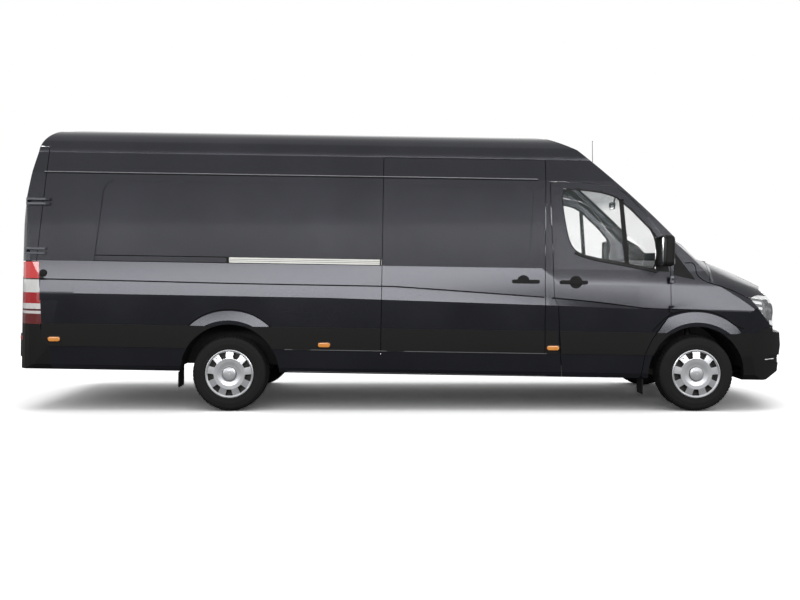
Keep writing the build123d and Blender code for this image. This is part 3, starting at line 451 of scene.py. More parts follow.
def strip(points, where, up, width, proud, closed=False, rounds=2, gap=40.0, foot=-1.5):
    # a rounded strip that follows a line over the body: where() drops the line's two coordinates onto it
    line = smooth(points, rounds, closed)
    if closed:
        line = np.concatenate([line, line[:1]])
    far = np.linalg.norm(np.diff(line, axis=0), axis=1).sum()
    line = even(line, max(4, int(far / gap)))
    if closed:
        line = line[:-1]
    return carried(where(line[:, 0], line[:, 1]), ridge(width, proud, foot), up, closed)


def flankStrip(points, side, width, proud, closed=False, rounds=2, gap=40.0, foot=-1.5):
    # the same strip on a flank, its line given as x and z
    where = lambda x, z: onFlank(x, z, side)
    return strip(points, where, outOf(side), width, proud, closed, rounds, gap, foot)


def domed(centre, way, width, height, radius, thick):
    # a soft rectangle that rises to a low dome: rings shrink as they go outwards, and its foot is sunk
    outline, way = softBox(width, height, radius, 8) / 1000, np.asarray(way, float)
    first = unit(np.cross(way, (0.0, 0.0, 1.0)))
    second = np.cross(first, way)
    flat = outline[:, :1] * first + outline[:, 1:] * second
    dome = ((1.0, 0.5), (0.96, 0.78), (0.84, 0.92), (0.55, 0.99), (0.01, 1.0))
    rings = [(1.0, -4.0)] + [(share, thick * rise) for share, rise in dome]
    points = [np.asarray(centre) + flat * share + way * rise / 1000 for share, rise in rings]
    return net(np.stack(points), False, True)


def block(low, high):
    # a box between two corners of the drawing, its edges a little rounded
    low, high = np.array(low, float), np.array(high, float)
    path = placed([low[0], high[0]], (low[1] + high[1]) / 2, (low[2] + high[2]) / 2)
    size = (high - low) / 1000
    return carried(path, softBox(size[1], size[2], min(size[1], size[2]) * 0.2))


def shell(inner, outer):
    # two nets of the same size joined round their edges
    rows, columns = inner.shape[:2]
    first, second = net(inner)[1], net(outer)[1]
    count = rows * columns
    rim = [r * columns for r in range(rows)]
    edge = list(range(columns)) + [r * columns + columns - 1 for r in range(1, rows)]
    edge += [(rows - 1) * columns + k for k in range(columns - 2, -1, -1)] + rim[-2:0:-1]
    ahead = edge[1:] + edge[:1]
    walls = [[here, there, count + there, count + here] for here, there in zip(edge, ahead)]
    points = np.concatenate([inner.reshape(-1, 3), outer.reshape(-1, 3)])
    return points, first + [[count + k for k in face] for face in second] + walls


print("the body's surface is ready for its trim")

# ---- finishes

def heightOf(x, z):
    # height in the level drawing, from a shader's X and Z
    turn = math.radians(stance["rake"])
    return (z * 1000.0 - stance["lift"]) * math.cos(turn) + (x * 1000.0 - stance["shift"]) * math.sin(turn)


# above the waist line the surface is tilted up a little, which fades over a reach given in metres;
# on the cab door the line is lower, from a place ahead of the sliding door and over a short way
bodyPaintLook = {
    "deep": (0.005, 0.0055, 0.008), "fleck": (0.029, 0.030, 0.040), "fleckScale": 650.0,
    "metal": 0.5, "rough": 0.19,
    "waist": 1330.0, "waistTilt": 0.15, "waistReach": 0.36,
    "doorFrom": 1240.0, "doorBlend": 150.0, "doorDrop": 150.0, "doorSoftness": 0.10,
}


def makeBodyPaint(name):
    # dark metallic paint: fine flakes under a smooth clear coat, with the faint ripple of sprayed paint
    look = bodyPaintLook
    p = Paint(name)
    flake = p.cells(look["fleckScale"], out="Color")
    spark = p.add("SeparateColor", None, {0: flake})(0)
    depth = p.noise(1.7, 2.0)
    share = (spark * 0.55 + depth * 0.45).clamped()
    color = p.blend(share, shade(*look["deep"]), shade(*look["fleck"]))
    rough = look["rough"] + (spark - 0.5) * 0.10 + (depth - 0.5) * 0.05
    ripple = p.noise(90.0, 2.0) * 0.00002
    x, y, z = p.axes()
    onDoor = ((x * 1000.0 - stance["shift"] - look["doorFrom"]) / look["doorBlend"]).clamped()
    over = ((heightOf(x, z) + onDoor * look["doorDrop"] - look["waist"]) / 1000.0).larger(0.0)
    over = over * over / (over + onDoor * look["doorSoftness"] + 0.0001)
    waist = ((over * (-1.0 / look["waistReach"])).exp() - 1.0) * (look["waistTilt"] * look["waistReach"])
    return p.surface(Base_Color=color, Metallic=look["metal"], Roughness=rough, Specular_IOR_Level=0.55,
                     Coat_Weight=0.04, Coat_Roughness=0.08, Normal=p.bump(ripple + waist, 1.0, 1.0))


def makePlastic(name, dark=0.012, light=0.03, grain=420.0, rough=0.55, tint=(1.0, 1.0, 1.0), depth=0.25):
    # moulded plastic: a leathery grain from small cells, and slightly cloudy colour
    p = Paint(name)
    grainHeight = p.cells(grain) * 0.7 + p.noise(grain * 1.7, 2.0) * 0.3
    cloud = p.noise(3.0, 4.0)
    tone = (cloud * 0.6 + p.noise(60.0) * 0.4).clamped()
    color = p.blend(tone, shade(*(dark * t for t in tint)), shade(*(light * t for t in tint)))
    return p.surface(Base_Color=color, Roughness=rough + (cloud - 0.5) * 0.16, Specular_IOR_Level=0.15,
                     Normal=p.bump(grainHeight, depth, 0.0006))


def makeGlass(name, tint=(0.32, 0.38, 0.37), clearness=0.22, band=None):
    # thin tinted glass; a windscreen also gets a coloured band along its top and a black printed edge
    p = Paint(name)
    x, y, z = p.axes()
    film = p.noise(4.0, 3.0)
    color = p.blend(film * 0.4, shade(*tint), shade(*(t * 0.8 for t in tint)))
    alpha = clearness + (film - 0.5) * 0.05
    if band:
        top = ((z - band["low"]) / (band["high"] - band["low"])).clamped()
        color = p.blend(top, color, shade(*band["color"]))
        alpha = alpha + top * band["strength"]
        sideEdge = ((abs(y) - band["edge"]) / 0.03).clamped()
        topEdge = ((z - band["top"]) / 0.02).clamped()
        footEdge = ((band["foot"] - z) / 0.04).clamped()
        edge = sideEdge.larger(topEdge).larger(footEdge)
        color = p.blend(edge, color, shade(0.006))
        alpha = (alpha + edge).clamped()
    return p.surface(Base_Color=color, Alpha=alpha, Roughness=0.02 + film * 0.03)


# in metres: the pitch and outer radius of the rings on a tyre's sidewall
ringLook = {"pitch": 0.0045, "limit": 0.315}

# in metres: how far out the pressed steel behind the windows lies, and the ring of painted shade in the
# crease round the hub
coverLook = {
    "steelOut": 0.1035, "steelBlend": 0.003,
    "hubCreaseShade": 0.0645, "creaseShadeHalf": 0.0025, "creaseShadeBlend": 0.002,
}


def fromAxle(x, z, centre):
    # how far a place is from a wheel's axis: the root of the sum of two squares
    return ((x - float(centre[0])) ** 2.0 + (z - float(centre[2])) ** 2.0) ** 0.5


def makeRubber(name, centre=None, dull=0.72):
    # dark rubber; on a tyre, faint rings run round the sidewall
    p = Paint(name)
    cloud = p.noise(7.0, 5.0)
    fine = p.noise(350.0, 2.0)
    color = p.blend((cloud * 0.7 + fine * 0.3).clamped(), shade(0.003), shade(0.008, 0.008, 0.0078))
    height = fine
    if centre is not None:
        x, y, z = p.axes()
        radius = fromAxle(x, z, centre)
        rings = (radius * 2 * math.pi / ringLook["pitch"]).wave() * (radius < ringLook["limit"])
        height = rings * 0.25 + fine * 0.4
    return p.surface(Base_Color=color, Roughness=dull + (cloud - 0.5) * 0.2, Specular_IOR_Level=0.25,
                     Normal=p.bump(height, 0.35, 0.0008))


def makeWheelPaint(name, centre):
    # silver wheel cover, darker and rougher on the pressed steel behind its windows, with a ring of painted
    # shade along the crease round the hub
    p = Paint(name)
    x, y, z = p.axes()
    radius = fromAxle(x, z, centre)
    out = abs(y) - axles["halfTrack"] / 1000
    behind = ((coverLook["steelOut"] - out) / coverLook["steelBlend"]).clamped()
    flake = p.cells(900.0, out="Color")
    spark = p.add("SeparateColor", None, {0: flake})(0)
    dirt = p.noise(14.0, 5.0)
    tone = (spark * 0.5 + dirt * 0.5).clamped()
    silver = p.blend(tone, shade(0.50, 0.51, 0.53), shade(0.72, 0.73, 0.75))
    brake = p.blend(dirt, shade(0.010), shade(0.028, 0.026, 0.024))
    color = p.blend(behind, silver, brake)
    # painted shade: a dark ring multiplied into the colour along the crease round the hub
    besideCreaseShade = abs(radius - coverLook["hubCreaseShade"]) - coverLook["creaseShadeHalf"]
    creaseShade = (besideCreaseShade / coverLook["creaseShadeBlend"]).clamped()
    color = p.blend(1.0 - creaseShade, color, shade(0.22), "MULTIPLY")
    rough = 0.30 + behind * 0.3 + (dirt - 0.5) * 0.1
    return p.surface(Base_Color=color, Metallic=(1.0 - behind) * 0.55, Roughness=rough,
                     Normal=p.bump(dirt, 0.05, 0.0005))


def makeMetal(name, dark, light, rough=0.35, metal=1.0, scale=(1.0, 40.0, 40.0), bump=0.08):
    # metal drawn along one way: noise stretched into long streaks
    p = Paint(name)
    streak = p.noise(30.0, 4.0, stretch=scale)
    cloud = p.noise(5.0, 3.0)
    color = p.blend((streak * 0.6 + cloud * 0.4).clamped(), shade(*dark), shade(*light))
    return p.surface(Base_Color=color, Metallic=metal, Roughness=rough + (streak - 0.5) * 0.2,
                     Normal=p.bump(streak, bump, 0.0004))


def makeChassis(name, dark=(0.008, 0.008, 0.009), light=(0.03, 0.028, 0.026), metal=0.3):
    # satin underbody coating with a little road dust
    p = Paint(name)
    cloud, fine = p.noise(4.0, 5.0), p.noise(120.0, 3.0)
    color = p.blend((cloud * 0.7 + fine * 0.3).clamped(), shade(*dark), shade(*light))
    return p.surface(Base_Color=color, Metallic=metal, Roughness=0.55 + cloud * 0.2,
                     Normal=p.bump(fine, 0.3, 0.001))


# the rear lamp from its foot to its top, as heights in the drawing and the colour of each band
tailBands = [
    (742, (0.16, 0.002, 0.003)), (836, (0.85, 0.80, 0.80)), (862, (0.10, 0.004, 0.005)),
    (880, (0.88, 0.84, 0.84)), (931, (0.50, 0.010, 0.016)), (1033, (0.88, 0.88, 0.86)),
    (1153, (0.02, 0.004, 0.004)), (1165, (0.80, 0.012, 0.016)),
]


def makeTailLamp(name):
    # stacked bands by height, each with small moulded optic ribs
    p = Paint(name)
    x, y, z = p.axes()
    height = heightOf(x, z)
    color = shade(*tailBands[0][1])
    for low, band in tailBands[1:]:
        color = p.blend((height - float(low)).clamped(), color, shade(*band))
    ribs = (height * (2 * math.pi / 9.0)).wave() * 0.5 + (y * (2 * math.pi / 0.009)).wave() * 0.5
    shadeOf = p.noise(20.0, 3.0)
    color = p.blend(0.25 + shadeOf * 0.3, color, p.blend(0.5, color, shade(0.02), "MULTIPLY"))
    return p.surface(Base_Color=color, Roughness=0.12 + shadeOf * 0.06, Coat_Weight=1.0, Coat_Roughness=0.02,
                     Normal=p.bump(ribs, 0.3, 0.0012), IOR=1.49)


def makeLens(name, low, high, rough=0.1, pitch=0.006):
    # a coloured lamp lens with crossed optic ribs
    p = Paint(name)
    x, y, z = p.axes()
    ribs = (x * (2 * math.pi / pitch)).wave() * 0.5 + (z * (2 * math.pi / pitch)).wave() * 0.5
    tone = p.noise(25.0, 3.0)
    color = p.blend((ribs * 0.25 + tone * 0.6 + 0.1).clamped(), shade(*low), shade(*high))
    return p.surface(Base_Color=color, Roughness=rough + tone * 0.08, Coat_Weight=1.0, Coat_Roughness=0.02,
                     Normal=p.bump(ribs, 0.3, 0.001))


def makeCloth(name, dark=(0.020, 0.021, 0.024), light=(0.060, 0.062, 0.068), pitch=0.0035):
    # woven seat cloth: over and under threads from crossed waves, with soft fibre fuzz
    p = Paint(name)
    x, y, z = p.axes()
    turns = 2 * math.pi / pitch
    over = ((y * turns).wave() * ((x + z) * turns).wave() + 1.0) * 0.5
    fuzz = p.noise(260.0, 4.0)
    wear = p.noise(6.0, 4.0)
    color = p.blend((over * 0.5 + fuzz * 0.3 + wear * 0.2).clamped(), shade(*dark), shade(*light))
    return p.surface(Base_Color=color, Roughness=0.85 + (fuzz - 0.5) * 0.1,
                     Normal=p.bump(over * 0.7 + fuzz * 0.3, 0.5, 0.0008),
                     Sheen_Weight=0.25, Sheen_Roughness=0.4)


# the windscreen's coloured band and printed edge, as heights and a half width in metres
screenBand = {
    "low": 1.95, "high": 2.04, "color": (0.06, 0.30, 0.38), "strength": 0.3,
    "edge": 0.66, "top": 2.33, "foot": 1.47,
}

finishes = {
    "bodyPaint": makeBodyPaint("bodyPaint"),
    "seam": makeRubber("seam", dull=0.5),
    # pale grey metal: on the drip and sill beads it is painted highlight, lighter than the body paint they
    # lie on; the blank badge wears it as its own colour
    "highlightBeadAndBadge": makeMetal("highlightBeadAndBadge", (0.09, 0.092, 0.10), (0.16, 0.162, 0.172), 0.35, 0.4),
    # near-black: real shut lines and slots, and also dark strips of painted shade along creases, grooves and
    # over the wing flares
    "gap": makePlastic("gap", 0.001, 0.003, rough=0.85),
    "plastic": makePlastic("blackPlastic", 0.004, 0.009, tint=(1.0, 0.99, 0.96)),
    "smoothPlastic": makePlastic("smoothPlastic", 0.006, 0.014, grain=900.0, rough=0.35, depth=0.1),
    "cabPlastic": makePlastic("cabPlastic", 0.016, 0.034, tint=(0.95, 1.0, 1.05), rough=0.6),
    "sideGlass": makeGlass("sideGlass", (0.42, 0.50, 0.49), 0.045),
    "screenGlass": makeGlass("screenGlass", (0.30, 0.38, 0.37), 0.10, screenBand),
    "clearLens": makeGlass("clearLens", (0.78, 0.80, 0.82), 0.22),
    "rubber": makeRubber("rubber"),
    "frontTyre": makeRubber("frontTyre", axlePlace("front")),
    "rearTyre": makeRubber("rearTyre", axlePlace("rear")),
    "frontWheel": makeWheelPaint("frontWheel", axlePlace("front")),
    "rearWheel": makeWheelPaint("rearWheel", axlePlace("rear")),
    "rail": makeMetal("railAluminium", (0.34, 0.34, 0.32), (0.52, 0.52, 0.49), 0.42, 0.6),
    "chrome": makeMetal(
        "chrome", (0.62, 0.63, 0.65), (0.82, 0.83, 0.85), 0.10, 1.0, (1.0, 1.0, 1.0), 0.01),
    "mirrorGlass": makeMetal(
        "mirrorGlass", (0.10, 0.11, 0.12), (0.13, 0.14, 0.15), 0.12, 0.5, (1.0, 1.0, 1.0), 0.0),
    "chassis": makeChassis("chassisBlack"),
    "casting": makeChassis("castIron", (0.05, 0.05, 0.05), (0.11, 0.105, 0.10), 0.7),
    "floorPaint": makeChassis("floorPaint", (0.05, 0.052, 0.056), (0.10, 0.104, 0.11), 0.2),
    "tailLamp": makeTailLamp("tailLamp"),
    "amberLens": makeLens("amberLens", (0.80, 0.22, 0.015), (1.0, 0.48, 0.10)),
    "whiteLens": makeLens("whiteLens", (0.62, 0.62, 0.60), (0.85, 0.85, 0.83)),
    "redLens": makeLens("redLens", (0.35, 0.003, 0.004), (0.62, 0.010, 0.012)),
    "seatCloth": makeCloth("seatCloth"),
}

# which nodes wear which finish; the rest wear the chassis coating
wears = {
    "bodyPaint": [
        "side_wall_right", "side_wall_left", "sliding_door", "roof", "cab_frame", "front_fenders", "bonnet",
        "rear_door_right", "rear_door_left", "front_door_right", "front_door_left"],
    "plastic": ["front_bumper", "rear_bumper", "side_mouldings", "door_trim_right", "door_trim_left"],
    "smoothPlastic": ["grille"],
    "cabPlastic": ["dashboard", "steering_wheel"],
    "sideGlass": ["door_glass_right", "door_glass_left"],
    "screenGlass": ["windscreen"],
    "frontTyre": ["tyre_front_right", "tyre_front_left"],
    "rearTyre": ["tyre_rear_right", "tyre_rear_left"],
    "frontWheel": ["wheel_front_right", "wheel_front_left"],
    "rearWheel": ["wheel_rear_right", "wheel_rear_left"],
    "rail": ["slide_rail"],
    "tailLamp": ["tail_lamps"],
    "amberLens": ["side_markers"],
    "clearLens": ["headlamps"],
    "rubber": ["mud_flaps", "wheel_housings"],
    "casting": ["engine_block"],
    "floorPaint": ["load_floor", "cab_floor"],
    "seatCloth": ["driver_seat", "passenger_seats"],
}
for name, piece in nodes.items():
    finish = next((key for key, members in wears.items() if name in members), "chassis")
    piece.data.materials.clear()
    piece.data.materials.append(finishes[finish])
print("the nodes have their finishes")
# ---- tyres: an outer surface with grooves and sipes, on each wheel

# in millimetres: half widths and radii, from the tread's edge down the sidewall to the bead, then up inside
tyreLook = {
    "steps": 360, "pitch": 6,
    "edge": (69, 76, 84, 91.5), "crownFlat": 60, "crownDrop": 5.0, "crownBend": 1.6,
    "grooves": (-62, -28, 28, 62), "grooveWidth": 9.0, "grooveDepth": 7.5, "grooveSlope": 1.0,
    "sipeDepth": 5.0, "shoulderWidth": (66, 108), "shoulderFoot": 325,
    "middleSipeDepth": 3.0, "middleWidth": 24, "middleFoot": 340,
    "wall": [
        (99, 340.5), (104, 336), (109, 326), (113.4, 312), (115.6, 300), (114.8, 297), (116.6, 290),
        (117.4, 276), (116.4, 262), (114.6, 250), (113.8, 246), (115.2, 240), (114.2, 232), (108, 225),
        (100, 219), (94, 214.3)],
    "inside": [
        (80, 215), (92, 240), (100, 275), (96, 308), (80, 330), (0, 334),
        (-80, 330), (-96, 308), (-100, 275), (-92, 240), (-80, 215)],
}

# in metres: where the valve stands on the wheel, and its distances along the axis with their radii
valveLook = {
    "radius": 0.186, "angle": 2.27, "out": 0.1, "steps": 12,
    "profile": [
        (-.02, 0), (-.02, .0045), (.006, .0045), (.008, .0035), (.016, .0035), (.018, .0025), (.018, 0)],
}


def hubOf(end, side):
    return axlePlace(end) + np.array([0, sides[side] * axles["halfTrack"] / 1000, 0])


def tyreSurface(end, side):
    # radius by place across the tread, less the grooves, and less a sipe every few degrees at the shoulders;
    # the profile runs from the inner bead over the tread to the outer bead and back inside
    look = tyreLook
    half, slope = look["grooveWidth"] / 2, look["grooveSlope"]
    tread = [0.0]
    for place in look["edge"]:
        tread += [-place, place]
    for middle in look["grooves"]:
        tread += [middle - half, middle - half + slope, middle + half - slope, middle + half]
    tread = np.sort(np.array(tread, float))
    fall = np.clip((np.abs(tread) - look["crownFlat"]) / (look["edge"][-1] - look["crownFlat"]), 0, 1)
    crown = axles["tyreRadius"] - look["crownDrop"] * fall ** look["crownBend"]
    inGroove = np.min(np.abs(tread[:, None] - np.array(look["grooves"])[None]), 1) < half - slope / 2
    wall, inside = np.array(look["wall"]), np.array(look["inside"])
    otherWall = (wall * np.array([-1.0, 1.0]))[::-1]
    profile = np.concatenate([otherWall, np.stack([tread, crown], -1), wall, inside])
    depth = [np.zeros(len(wall)), inGroove * look["grooveDepth"], np.zeros(len(wall) + len(inside))]
    depth = np.concatenate(depth)
    width, height = np.abs(profile[:, 0]), profile[:, 1]
    low, high = look["shoulderWidth"]
    shoulder = ((width > low) & (width < high) & (height > look["shoulderFoot"])).astype(float)
    middle = ((width < look["middleWidth"]) & (height > look["middleFoot"])).astype(float)
    step = np.arange(look["steps"])
    turn = step * 2 * math.pi / look["steps"]
    sipe = (step % look["pitch"] < 1).astype(float)[:, None]
    middleSipe = (step % look["pitch"] == look["pitch"] // 2).astype(float)[:, None]
    radius = height[None] - depth[None] - sipe * shoulder * look["sipeDepth"]
    radius = radius - middleSipe * middle * look["middleSipeDepth"]
    across = np.broadcast_to(profile[None, :, 0], radius.shape)
    points = np.stack([radius * np.cos(turn)[:, None], across, radius * np.sin(turn)[:, None]], -1)
    return net(hubOf(end, side) + points / 1000, True, True)


for end in ("front", "rear"):
    for side in sides:
        wheel = f"wheel_{end}_{side}"
        tyre = tyreSurface(end, side)
        addPiece(f"tyre.{end}.{side}", [tyre], finishes[f"{end}Tyre"], wheel,
                 replaces=(f"tyre_{end}_{side}",))
        reach, angle = valveLook["radius"], valveLook["angle"]
        foot = np.array([reach * math.cos(angle), sides[side] * valveLook["out"], reach * math.sin(angle)])
        valve = turned(hubOf(end, side) + foot, outOf(side), valveLook["profile"], valveLook["steps"])
        addPiece(f"valve.{end}.{side}", [valve], finishes["seam"], wheel)
print("the tyres have their tread")

# ---- strips and lines along both flanks

# lines are x and z in the drawing; a strip has its width, how proud it stands and the gap between its points

flankLook = {
    "drip": [(-3430, 2152), (-2600, 2152), (-1000, 2152), (600, 2152), (1180, 2150)],
    "low": [(-1150, 543), (-400, 543), (700, 543), (1270, 543)],
    "sill": [(-1130, 336), (-300, 334), (600, 332), (1280, 330)],
    "wing": [(2553, 1400), (2656, 1407), (2664, 1251), (2972, 1163), (3151, 1081)],
    "dripGrooveShade": {"width": 9, "proud": 2.0, "rounds": 0, "gap": 60},
    "dripHighlightBead": {"width": 8, "proud": 3.5, "rounds": 0, "gap": 60}, "dripBeadRise": 11,
    "sillBead": {"width": 7, "proud": 2.5, "rounds": 0, "gap": 60},
    "wingSeam": {"width": 8, "proud": 1.4, "gap": 25},
}

# the sliding door's rail: its channel and end stop run on behind it, its grooves along it
railLook = {
    "channel": (-2935, -2200, -1710), "channelHeights": (1388, 1334),
    "channelStrip": {"width": 8, "proud": 2.0, "rounds": 0, "gap": 60},
    "middle": 1362, "stop": (-1700, -1684), "stopWidth": 0.018,
    "bracket": (-284, -270), "bracketWidth": 0.012,
    "endHeight": 0.056, "endCorner": 0.004, "endLift": 2,
    "grooves": (-1676, -280), "grooveHeights": (1354, 1370),
    "grooveStrip": {"width": 4, "proud": 1.2, "rounds": 0, "gap": 60},
}

# width, height, corner and rise of each, in millimetres
markerLook = {
    "places": ((-3280, 607), (-786, 591), (1328, 596)),
    "bezel": (132, 60, 28, 3.5), "lens": (112, 42, 20, 9),
}

# a rubber stop for the opened rear door
bufferLook = {
    "place": (-3400, 1214), "steps": 32,
    "profile": [(-.02, 0), (-.02, .035), (.004, .035), (.009, .028), (.010, 0)],
}


def railEnd(ends, side, width):
    # a short block across the rail, between two places along it
    section = softBox(railLook["endHeight"], width, railLook["endCorner"])
    return carried(onFlank(ends, [railLook["middle"]] * 2, side, railLook["endLift"]), section, outOf(side))


def railParts(side):
    look = railLook
    channel = [[(x, z) for x in look["channel"]] for z in look["channelHeights"]]
    grooves = [[(x, z) for x in look["grooves"]] for z in look["grooveHeights"]]
    lines = [flankStrip(line, side, **look["channelStrip"]) for line in channel]
    lines += [flankStrip(line, side, **look["grooveStrip"]) for line in grooves]
    addPiece("railStop", [railEnd(look["stop"], side, look["stopWidth"])], finishes["plastic"])
    # the channel's two dark lines are its slots; the two along the rail are painted shade in its grooves
    addPiece("railSlotsAndGrooveShade", lines, finishes["gap"])
    addPiece("railBracket", [railEnd(look["bracket"], side, look["bracketWidth"])], finishes["plastic"])


for side in sides:
    look = flankLook
    # painted highlight: the drip bead and the two sill beads are pale grey, lighter than the body paint, for
    # the highlights these ledges catch
    dripHighlightBead = [(x, z + look["dripBeadRise"]) for x, z in look["drip"]]
    # painted shade: a near-black strip under the drip bead, where the drip channel falls into shade
    addPiece(f"dripGrooveShade.{side}", [flankStrip(look["drip"], side, **look["dripGrooveShade"])], finishes["gap"])
    addPiece(f"dripHighlightBead.{side}", [flankStrip(dripHighlightBead, side, **look["dripHighlightBead"])], finishes["highlightBeadAndBadge"])
    highlightBeads = [flankStrip(look[key], side, **look["sillBead"]) for key in ("low", "sill")]
    addPiece(f"sillHighlightBeads.{side}", highlightBeads, finishes["highlightBeadAndBadge"])
    if side == "right":
        railParts(side)
    spots = [onFlank([x], [z], side)[0] for x, z in markerLook["places"]]
    bezels = [domed(spot, outOf(side), *markerLook["bezel"]) for spot in spots]
    lenses = [domed(spot, outOf(side), *markerLook["lens"]) for spot in spots]
    addPiece(f"markerBezels.{side}", bezels, finishes["smoothPlastic"])
    addPiece(f"markerLenses.{side}", lenses, finishes["amberLens"],
             replaces=("side_markers",))
    x, z = bufferLook["place"]
    buffer = turned(onFlank([x], [z], side)[0], outOf(side), bufferLook["profile"], bufferLook["steps"])
    addPiece(f"hingeBuffer.{side}", [buffer], finishes["rubber"])
    addPiece(f"wingSeam.{side}", [flankStrip(look["wing"], side, **look["wingSeam"])], finishes["gap"])
print("lines and strips run along the flanks")

# ---- painted shade: dark strips along the crease under the belt and over each wing flare

creaseLook = {
    "body": [
        [(-3428, 1160), (-2554, 1154), (-1702, 1145), (-918, 1142), (-268, 1141), (-93, 1139), (1245, 1062)],
        [(2424, 968), (2460, 966), (2600, 968)]],
    "door": [(1310, 1056), (1344, 1055), (1655, 1033), (1974, 998), (2165, 974), (2412, 968)],
    "flares": [
        [(2248, 764), (2295, 818), (2373, 898), (2452, 941), (2611, 968), (2770, 958), (2898, 914),
         (2979, 852), (3027, 820), (3091, 800)],
        [(-2043, 752), (-1988, 798), (-1921, 843), (-1810, 890), (-1687, 905), (-1564, 898), (-1451, 860),
         (-1361, 807), (-1288, 750)]],
    "flareStrip": {"width": 12, "proud": 1.6, "gap": 20, "foot": -6},
    "bodyStrip": {"width": 12, "proud": 1.6, "rounds": 1, "gap": 60},
    "doorStrip": {"width": 12, "proud": 2.0, "gap": 30},
}

# the belt's section at one place, carried on to the tail: places in the drawing, depths in metres
beltEndLook = {
    "section": -3120.0, "ends": (-3424, -3110), "columns": 12, "heights": (968, 1150), "rows": 14,
    "proud": 0.0006, "thick": 0.014,
}


def beltEnd(side):
    look = beltEndLook
    z = np.linspace(*look["heights"], look["rows"])
    across = onFlank(np.full(look["rows"], look["section"]), z, side)[:, 1]
    x = np.linspace(*look["ends"], look["columns"])
    outer = placed(x[None] + 0 * z[:, None], 0, z[:, None])
    outer[..., 1] = across[:, None] + sides[side] * look["proud"]
    return shell(outer - np.array(outOf(side)) * look["thick"], outer)


for side in sides:
    look = creaseLook
    # painted shade: near-black strips where the step over each flare and the belt crease fall into shade
    flareShadeLines = [flankStrip(line, side, **look["flareStrip"]) for line in look["flares"]]
    creaseShadeLines = [flankStrip(line, side, **look["bodyStrip"]) for line in look["body"]]
    addPiece(f"flareAndCreaseShade.{side}", flareShadeLines + creaseShadeLines, finishes["gap"])
    addPiece(f"beltEnd.{side}", [beltEnd(side)], finishes["bodyPaint"])
    # painted shade: a near-black strip along the cab door's crease, where it falls into shade
    doorCreaseShade = flankStrip(look["door"], side, **look["doorStrip"])
    addPiece(f"doorCreaseShade.{side}", [doorCreaseShade], finishes["gap"], f"front_door_{side}")

# ---- cab doors: seals, divider, mirror glass and indicator

# outlines and corners are x and z in the drawing; a plate has its thickness and its lift off the body
doorLook = {
    "glass": [
        (1400, 1990), (1424, 1815), (1460, 1625), (1495, 1540), (1543, 1483), (1639, 1447), (1830, 1411),
        (2000, 1385), (2165, 1350), (2290, 1330), (2300, 1640), (2158, 1798), (1964, 1976), (1868, 2031),
        (1677, 2067), (1420, 2080)],
    "waist": [(1525, 1478), (1639, 1434), (1830, 1396), (2000, 1370), (2165, 1336), (2290, 1314)],
    "glassSeal": {"width": 20, "proud": 4, "closed": True, "gap": 20, "foot": -6},
    "waistSealAndShade": {"width": 22, "proud": 5, "gap": 20},
    "divider": [(1940, 1985), (1980, 1985), (2038, 1383), (1993, 1383)],
    "dividerPlate": {"thick": 6, "lift": 1, "rows": 20, "columns": 4},
    "corner": [(2290, 1640), (2342, 1632), (2408, 1318), (2284, 1320)],
    "cornerPlate": {"thick": 5, "lift": 1, "rows": 20, "columns": 6},
    "pillarFoot": [(2458, 1488), (2466, 1488), (2650, 1248), (2450, 1288)],
    "pillarPlate": {"thick": 4, "lift": 1, "rows": 20, "columns": 10},
}

# the mirror's middle and faces in the drawing; widths, heights and corners in metres
mirrorLook = {
    "out": 1106, "height": 1509, "glass": (2303, 2296), "glassSize": (0.166, 0.252, 0.03),
    "rim": 2297, "rimSize": (0.172, 0.258, 0.032),
    "rimSection": [(-.004, -.008), (.004, -.008), (.005, .016), (0, .021), (-.003, .016)],
    "indicator": ((2372, 1203), (2384, 1180), (2387, 1090)), "indicatorHeight": 1412,
    "indicatorSize": (0.006, 0.05, 0.002),
}


def mirrorParts(side):
    look = mirrorLook
    middle = sides[side] * look["out"]
    glass = carried(placed(look["glass"], middle, look["height"]), softBox(*look["glassSize"], 8))
    ring = softBox(*look["rimSize"], 8) * 1000
    rimPath = placed(look["rim"], middle + ring[:, 0], look["height"] + ring[:, 1])
    rim = carried(rimPath, look["rimSection"], (-1, 0, 0), True)
    x, y = np.array(look["indicator"], float).T
    lampPath = placed(x, sides[side] * y, look["indicatorHeight"])
    return glass, rim, carried(lampPath, softBox(*look["indicatorSize"]))


for side in sides:
    look = doorLook
    door = f"front_door_{side}"
    seal = flankStrip(look["glass"], side, **look["glassSeal"])
    # partly a real waist seal and partly painted shade: the dark rubber strip under the glass is widened to
    # stand for the shaded hollow of the belt
    waistSealAndShade = flankStrip(look["waist"], side, **look["waistSealAndShade"])
    addPiece(f"glassSeal.{side}", [seal, waistSealAndShade], finishes["seam"], door)
    divider = plate(look["divider"], side, **look["dividerPlate"])
    corner = plate(look["corner"], side, **look["cornerPlate"])
    addPiece(f"glassFrame.{side}", [divider, corner], finishes["plastic"], door)
    pillarFoot = plate(look["pillarFoot"], side, **look["pillarPlate"])
    addPiece(f"pillarFoot.{side}", [pillarFoot], finishes["plastic"])
    glass, rim, indicator = mirrorParts(side)
    addPiece(f"mirrorRim.{side}", [rim], finishes["smoothPlastic"], door)
    addPiece(f"mirrorGlass.{side}", [glass], finishes["mirrorGlass"], door)
    addPiece(f"mirrorIndicator.{side}", [indicator], finishes["clearLens"], door)
print("the cab doors have their seals, frames and mirror glass")

# ---- screen, wipers, aerial and bonnet

